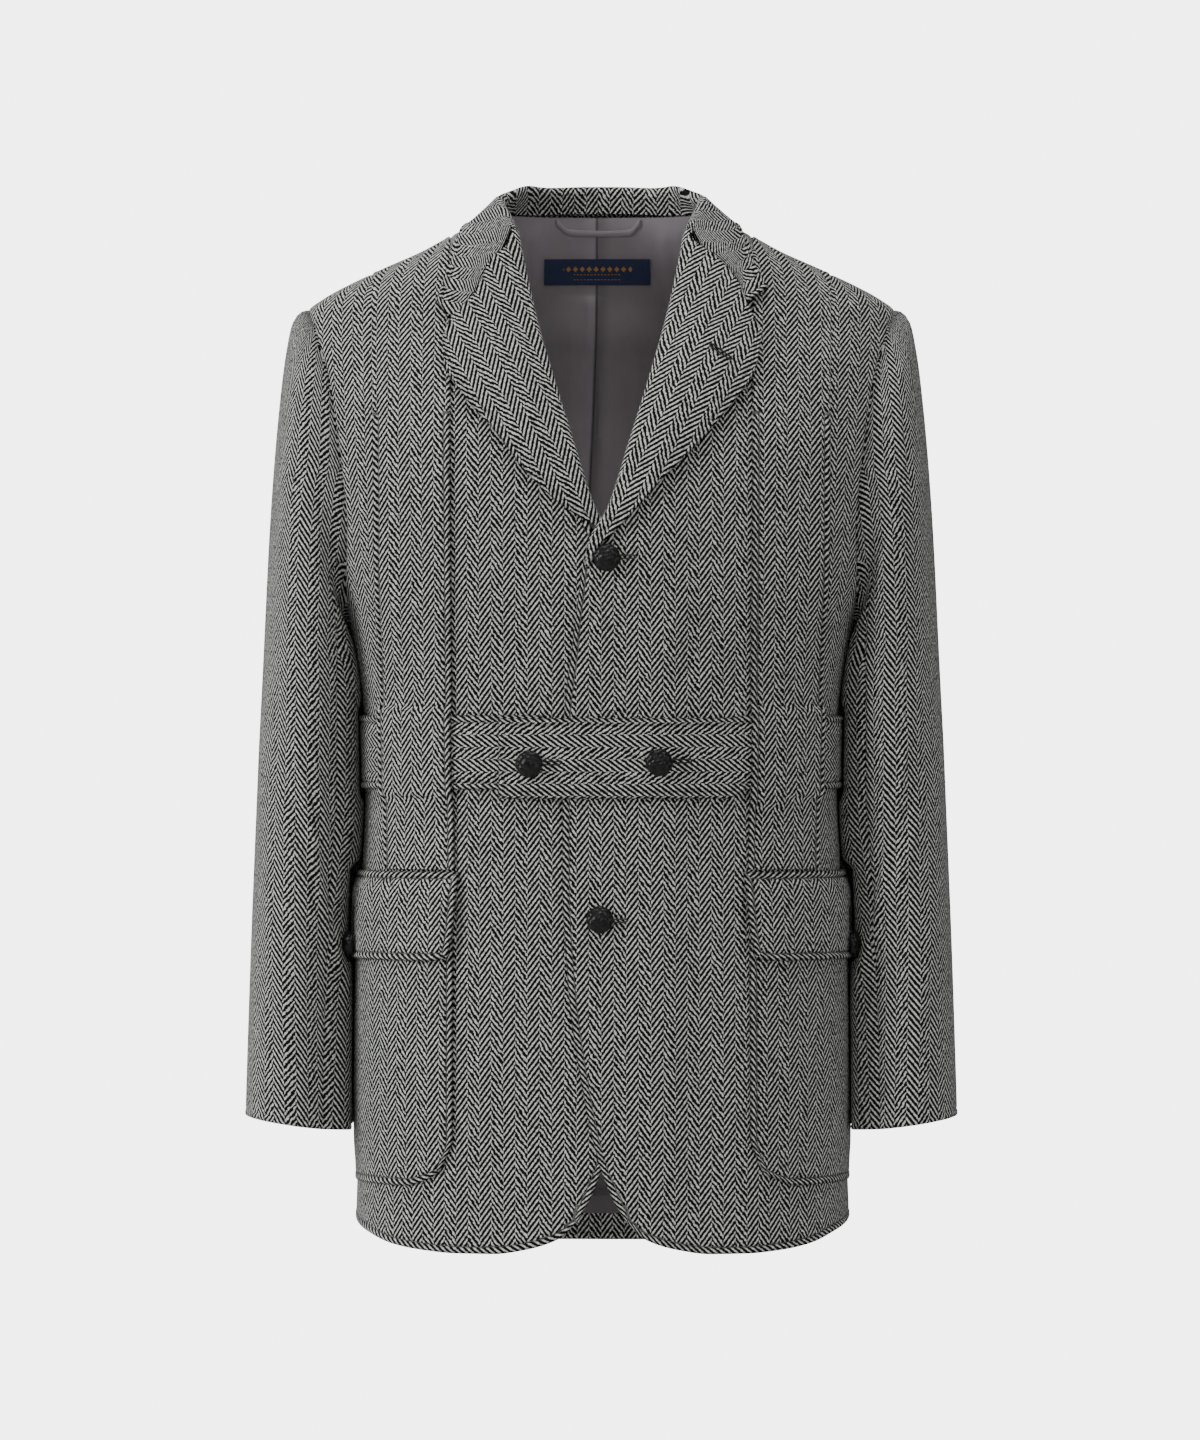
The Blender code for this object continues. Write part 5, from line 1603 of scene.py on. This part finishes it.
def allowance(angles):
    """Two rows of sleeve cloth that lie inside the armhole, outer and inner face."""
    loop = armhole(angles)
    normal = body_normal(loop)
    inward = np.cross(normal, np.gradient(loop, axis=0))
    inward /= np.linalg.norm(inward, axis=-1, keepdims=True)
    centre = np.array([0.2, 0.0, (ARMHOLE_TOP + ARMPIT) / 2.0])
    inward *= np.sign(np.sum(inward * (loop - centre), axis=-1, keepdims=True))
    outer = [loop + inward * 0.0060 - normal * (CLOTH + 0.0008),
             loop + inward * 0.0010 - normal * (CLOTH + 0.0005)]
    return np.stack(outer), np.stack(outer) - normal * 0.0009


# angles round the sleeve: the steps, those crowded at a seam, and one past it that only
# helps to find the normals
TURN_STEP = 0.038
NEAR_SEAM = np.array((0.0, 0.008, 0.016, 0.026))
BEYOND = 0.01
ALL_ROUND = np.linspace(0.0, 2.0 * math.pi, 25)[:-1]


def sleeve_piece(part, hand, side, first, last):
    """One piece of a sleeve, between two angles."""
    angles = np.linspace(first, last, round((last - first) / TURN_STEP) + 1)
    angles = np.concatenate([first + NEAR_SEAM, angles[1:-1], last - NEAR_SEAM[::-1]])
    wider = np.concatenate([[first - BEYOND], angles, [last + BEYOND]])
    grid = read_rows(sleeve_rings(wider), sleeve_rows)
    normal = grid_normals(grid)[:, 1:-1]
    grid = grid[:, 1:-1]
    centre = read_rows(sleeve_rings(ALL_ROUND), sleeve_rows).mean(axis=1)
    if np.sum(normal[60:] * (grid - centre[:, None])[60:]) < 0.0:
        normal = -normal
    across, down = run_along(grid, 1), run_along(grid, 0)
    from_cuff = down[-1:] - down
    seam = np.minimum(across, across[:, -1:] - across)
    relief = edge_relief(from_cuff, 0.5) - SEAM_DEPTH * bell(seam / SEAM_WIDTH)
    crown = (0.5 + 0.5 * np.cos(angles[None, :])) ** 2
    relief = relief - 0.0003 * bell(down / 0.002) + 0.0005 * crown * bell((down - 0.006) / 0.008)
    swell = buckled(angles[None, :], down)
    middle = settled(grid + normal * swell[..., None], angles[None, :], down)
    outer = middle + normal * relief[..., None]
    inner = middle + normal * (INNER_TURN * turned_edge(from_cuff) - CLOTH)[..., None]
    uv = np.stack([sleeve_across(grid, part == "under") * side, from_cuff], axis=-1)
    hidden_outer, hidden_inner = allowance(angles)
    outer, inner = np.concatenate([hidden_outer, outer]), np.concatenate([hidden_inner, inner])
    uv = np.concatenate([uv[:1] + (0.0, 0.006), uv[:1] + (0.0, 0.001), uv])
    from_cuff = np.concatenate([from_cuff[:1], from_cuff[:1], from_cuff])
    down = np.concatenate([0.0 * down[:2], down])
    shadow = np.maximum(0.6 * bell(from_cuff / 0.0012), 0.55 * bell(down / 0.0035))
    shadow = np.maximum(shadow, 0.35 * bell(seam[:1] / 0.0020))
    outer, inner = mirrored(outer, side), mirrored(inner, side)
    piece = cloth_piece(f"cloth_sleeve_{part}_{hand}", outer, inner, uv, (tweed, lining),
                        from_cuff < CUFF_TURN, shadow)
    dress(piece, f"sleeve_{part}_{hand}", outer, extent(uv))


SEAM_ANGLE = SEAM_CELL / RING_CELLS * 2.0 * math.pi
for side, hand in SIDES:
    sleeve_piece("top", hand, side, -SEAM_ANGLE, SEAM_ANGLE)
    sleeve_piece("under", hand, side, SEAM_ANGLE, 2.0 * math.pi - SEAM_ANGLE)

# %% [markdown]
# ## Leather buttons
# These are football buttons: leather strips woven over and under into a knot. A
# sphere is flattened to a low dome, and its skin is pushed out where a strip lies on
# top and in where it dives. All six are copies of one.

# %% A woven leather button
# strips across a button, the share of its height at its rim, and a strip's relief
STRIPS = 3.0
RIM = 0.36
STRIP_RELIEF = 0.00115


def woven(a, b):
    """Height of a basket weave of strips, at a place in strip widths."""
    column, row = np.floor(a), np.floor(b)
    ta, tb = 2.0 * (a - column) - 1.0, 2.0 * (b - row) - 1.0
    over = (column + row) % 2.0 == 0.0
    across, along = np.where(over, tb, ta), np.where(over, ta, tb)
    strip = (1.0 - 0.75 * across ** 4) * (1.0 - 0.55 * np.abs(along) ** 3)
    return strip - 0.22 * bell(across / 0.16)


def button_shape():
    """One button at the origin, its face toward +Z."""
    bpy.ops.object.select_all(action="DESELECT")
    bpy.ops.mesh.primitive_uv_sphere_add(segments=72, ring_count=44, radius=1.0)
    made = bpy.context.object
    mesh = made.data
    points = read_points(mesh)
    x, y, z = points.T
    dome = RIM + (1.0 - RIM) * np.clip(z, 0.0, 1.0) ** 0.9
    tall = np.where(z > 0.0, dome, RIM * (1.0 - np.clip(-z, 0.0, 1.0) ** 0.7))
    turn = math.radians(45.0)
    bulge = np.arccos(np.clip(z, -1.0, 1.0)) / (math.pi / 2.0)
    flat = np.hypot(x, y) + 1e-9
    fx, fy = x / flat * bulge, y / flat * bulge
    a = (fx * math.cos(turn) + fy * math.sin(turn)) * STRIPS / 2.0 + 0.5
    b = (fy * math.cos(turn) - fx * math.sin(turn)) * STRIPS / 2.0 + 0.5
    height = (woven(a, b) - 0.7) * STRIP_RELIEF * ramp(-0.25, 0.1, z)
    size = np.stack([x * BUTTON_RADIUS, y * BUTTON_RADIUS, tall * BUTTON_HEIGHT], 1)
    place_points(mesh, size + points * height[:, None])
    mesh.materials.append(leather)
    mesh.update()
    bpy.ops.object.shade_smooth()
    return made


def set_at(thing, seat, normal, roll=0.0):
    """Turn a thing's +Z to a direction, move it to a seat and apply the place."""
    across = np.cross((0.0, 0.0, 1.0), normal)
    across /= np.linalg.norm(across)
    up = np.cross(normal, across)
    c, s = math.cos(roll), math.sin(roll)
    place = np.eye(4)
    place[:3, 0], place[:3, 1] = across * c + up * s, up * c - across * s
    place[:3, 2], place[:3, 3] = normal, seat
    bpy.ops.object.select_all(action="DESELECT")
    thing.select_set(True)
    bpy.context.view_layer.objects.active = thing
    thing.matrix_world = Matrix(place.tolist())
    bpy.context.view_layer.update()
    bpy.ops.object.transform_apply(location=True, rotation=True, scale=True)


def copied(thing, name):
    """A copy with its own mesh."""
    twin = thing.copy()
    twin.data = thing.data.copy()
    twin.name = twin.data.name = name
    bpy.context.collection.objects.link(twin)
    return twin


knot = button_shape()
seats = [(name, at_front(x, z), height + BUTTON_GAP, 1) for name, x, z, height in BUTTONS]
flap_place = np.array([FLAP_BUTTON_REACH, FLAP_BUTTON_HEIGHT])
flap_spot = around(flap_place[None])[0]
for side, hand in SIDES:
    seats.append((f"button_flap_{hand}", flap_spot, float(flap_height(flap_place)) + TOUCH, side))
for number, (node, spot, height, side) in enumerate(seats):
    button = copied(knot, f"leather_{node}")
    normal = mirrored(body_normal(spot), side)
    seat = mirrored(spot, side)
    set_at(button, seat + normal * (height + float(drape(seat))), normal, 0.12 * (number % 3 - 1))
    dress(button, node)
bpy.data.objects.remove(knot, do_unlink=True)
print("buttons:", len(seats))

# %% [markdown]
# ## Buttonholes
# Each button passes through a slit that thread covers on both sides. A flattened
# ring of stitches laid on the cloth is enough at this size. The lapel has one too,
# which fastens to nothing.

# %% Worked buttonholes
HOLE_WIDTH, HOLE_RISE = 0.0034, 0.0006

# the ring's thickness to its radius, and its stitches
RING = 0.45
STITCHES = 36.0


def buttonhole(name, spot, height, roll, length, finish, side=1):
    """A ring of stitches round a slit, lying over a point of the torso."""
    bpy.ops.object.select_all(action="DESELECT")
    bpy.ops.mesh.primitive_torus_add(major_segments=72, minor_segments=12, major_radius=1.0,
                                     minor_radius=RING)
    ring = bpy.context.object
    ring.name = ring.data.name = name
    x, y, z = read_points(ring.data).T
    angle = np.arctan2(y, x)
    stitch = 1.0 + 0.16 * np.sign(np.sin(STITCHES * angle))
    half = (length - HOLE_WIDTH) / 2.0
    wide = HOLE_WIDTH / 2.0 / (1.0 + RING)
    shape = np.stack([x * wide + half * np.clip(3.0 * np.cos(angle), -1.0, 1.0), y * wide,
                      z * HOLE_RISE / RING * stitch], 1)
    place_points(ring.data, shape)
    ring.data.materials.append(finish)
    ring.data.update()
    bpy.ops.object.shade_smooth()
    spot, normal = mirrored(spot, side), mirrored(body_normal(spot), side)
    set_at(ring, spot + normal * (height + float(drape(spot))), normal, roll)
    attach(ring, "root")


def photographed(column, row):
    """The x and height of a point of the front that was measured on the photograph."""
    scale = CAMERA_AWAY - FRONT_DEPTH
    x = (column - PHOTO_MIDDLE[0]) * scale / FOCAL_PIXELS
    return x, CAMERA_HEIGHT - (row - PHOTO_MIDDLE[1]) * scale / FOCAL_PIXELS


# name, column and row on the photograph, height, turn, length and thread
HOLES = (("belt_outer", 551.0, 763.0, BELT_LAP + BELT_CLOTH, 0.0, 0.0150, black_thread),
         ("belt_inner", 680.0, 761.0, BELT_LAP + BELT_CLOTH, 0.0, 0.0150, black_thread),
         ("front_top", 622.0, 557.0, LAP, 0.0, 0.0200, grey_thread),
         ("front_bottom", 613.0, 921.0, LAP, 0.0, 0.0200, grey_thread),
         ("lapel", 719.0, 356.5, LAPEL_LIFT + 0.0031, -0.70, 0.0200, black_thread))
for name, column, row, height, roll, length, finish in HOLES:
    spot = at_front(*photographed(column, row))
    buttonhole(f"buttonhole_{name}", spot, height, roll, length, finish)
flap_slit = flap_place + (0.0, 0.0185)
slit_height = float(flap_height(flap_slit)) + 0.0004
for side, hand in SIDES:
    buttonhole(f"buttonhole_flap_{hand}", around(flap_slit[None])[0], slit_height, math.pi / 2.0,
               0.0180, black_thread, side)
print("buttonholes:", len(HOLES) + 2)

# %% [markdown]
# ## Label and hanger loop
# The label is woven tape, sewn at its ends. The photograph's lettering isn't copied:
# lozenges and dashes stand in its place. The loop is a fold of lining.

# %% Neck label
depth = -(CLOTH + LINING_LIFT + LINING_CLOTH + 0.0010)
(left, low), (right, high) = LABEL
columns = spaced(right - left, 0.004, True, True) + left
rows = spaced(high - low, 0.002, False, False) + low
grid = at_front(columns[None, :], rows[:, None], 1.0)
place = np.stack([columns[None, :] - left + 0.0 * rows[:, None],
                  rows[:, None] - low + 0.0 * columns[None, :]], axis=-1)
laid("neck_label", grid, depth, skins=(label_cloth, label_cloth), face=1.0, thickness=TRIM_CLOTH,
     uv=place)

# %% Hanger loop
line = thread(LOOP, 60)
share = np.linspace(-0.5, 0.5, 9)
grid = at_front(line[None, :, 0] + 0.0 * share[:, None],
                line[None, :, 1] + LOOP_WIDTH * share[:, None], 1.0)
crown = -0.0004 * (1.0 - (2.0 * share[:, None]) ** 2)
laid("hanger_loop", grid, depth + crown, skins=(lining, lining), face=1.0, thickness=TRIM_CLOTH,
     uv=unrolled(grid),
     cut=(extent(unrolled(grid))[0], 2.0 * LOOP_WIDTH + 0.002))

# %% [markdown]
# ## Camera and light
# The camera stands as far off as the photograph's did, level with the waist. A broad
# light from the left shapes the cloth, and weaker ones in front, on the right, behind
# and above soften it. The world is white to the camera and dim to the cloth.

# %% Camera
SENSOR = 36.0
bpy.ops.object.camera_add(location=(-0.001, -CAMERA_AWAY, CAMERA_HEIGHT),
                          rotation=(math.pi / 2.0, 0.0, 0.0))
camera = bpy.context.object
camera.data.sensor_fit = "VERTICAL"
camera.data.sensor_height = SENSOR
camera.data.lens = FOCAL_PIXELS * SENSOR / PHOTO_ROWS
camera.data.clip_end = 50.0
bpy.context.scene.camera = camera
print("lens, mm:", round(camera.data.lens, 1))

# %% Lights
def softbox(name, place, target, size, power):
    """An oblong area light that looks at a target."""
    bpy.ops.object.light_add(type="AREA", location=place)
    light = bpy.context.object
    light.name = name
    light.data.energy = power
    light.data.shape = "RECTANGLE"
    light.data.size, light.data.size_y = size
    toward = Vector(target) - light.location
    light.rotation_euler = toward.to_track_quat("-Z", "Y").to_euler()


WAIST = (0.0, 0.0, -0.3)
softbox("key", (-3.6, -2.0, 0.9), WAIST, (1.6, 2.0), 106.0)
softbox("front", (0.2, -5.2, 0.9), WAIST, (2.4, 1.4), 28.0)
softbox("fill", (2.8, -3.0, 0.2), WAIST, (1.4, 2.2), 21.0)
softbox("rim", (-3.2, 1.0, 0.5), WAIST, (1.4, 2.0), 14.0)
softbox("top", (0.0, -0.6, 2.6), (0.0, 0.0, -0.2), (2.2, 1.6), 50.0)

# %% World and floor
WORLD_LIGHT, WORLD_SEEN = 0.16, 5.0
world = bpy.data.worlds.new("studio")
bpy.context.scene.world = world
world.use_nodes = True
tree = world.node_tree
back = tree.nodes["Background"]
back.inputs["Color"].default_value = (1.0, 1.0, 1.0, 1.0)
seen = tree.nodes.new("ShaderNodeLightPath")
dim = tree.nodes.new("ShaderNodeMix")
dim.data_type = "FLOAT"
dim.inputs[2].default_value = WORLD_LIGHT
dim.inputs[3].default_value = WORLD_SEEN
tree.links.new(seen.outputs["Is Camera Ray"], dim.inputs[0])
tree.links.new(dim.outputs[0], back.inputs["Strength"])
bpy.ops.mesh.primitive_circle_add(vertices=96, radius=6.0, fill_type="NGON",
                                  location=(0.0, 0.0, -1.6))
floor = bpy.context.object
floor.name = "floor"
pale = bpy.data.materials.new("pale_floor")
pale.use_nodes = True
shader = pale.node_tree.nodes["Principled BSDF"]
shader.inputs["Base Color"].default_value = grey(0.80)
shader.inputs["Roughness"].default_value = 0.9
floor.data.materials.append(pale)
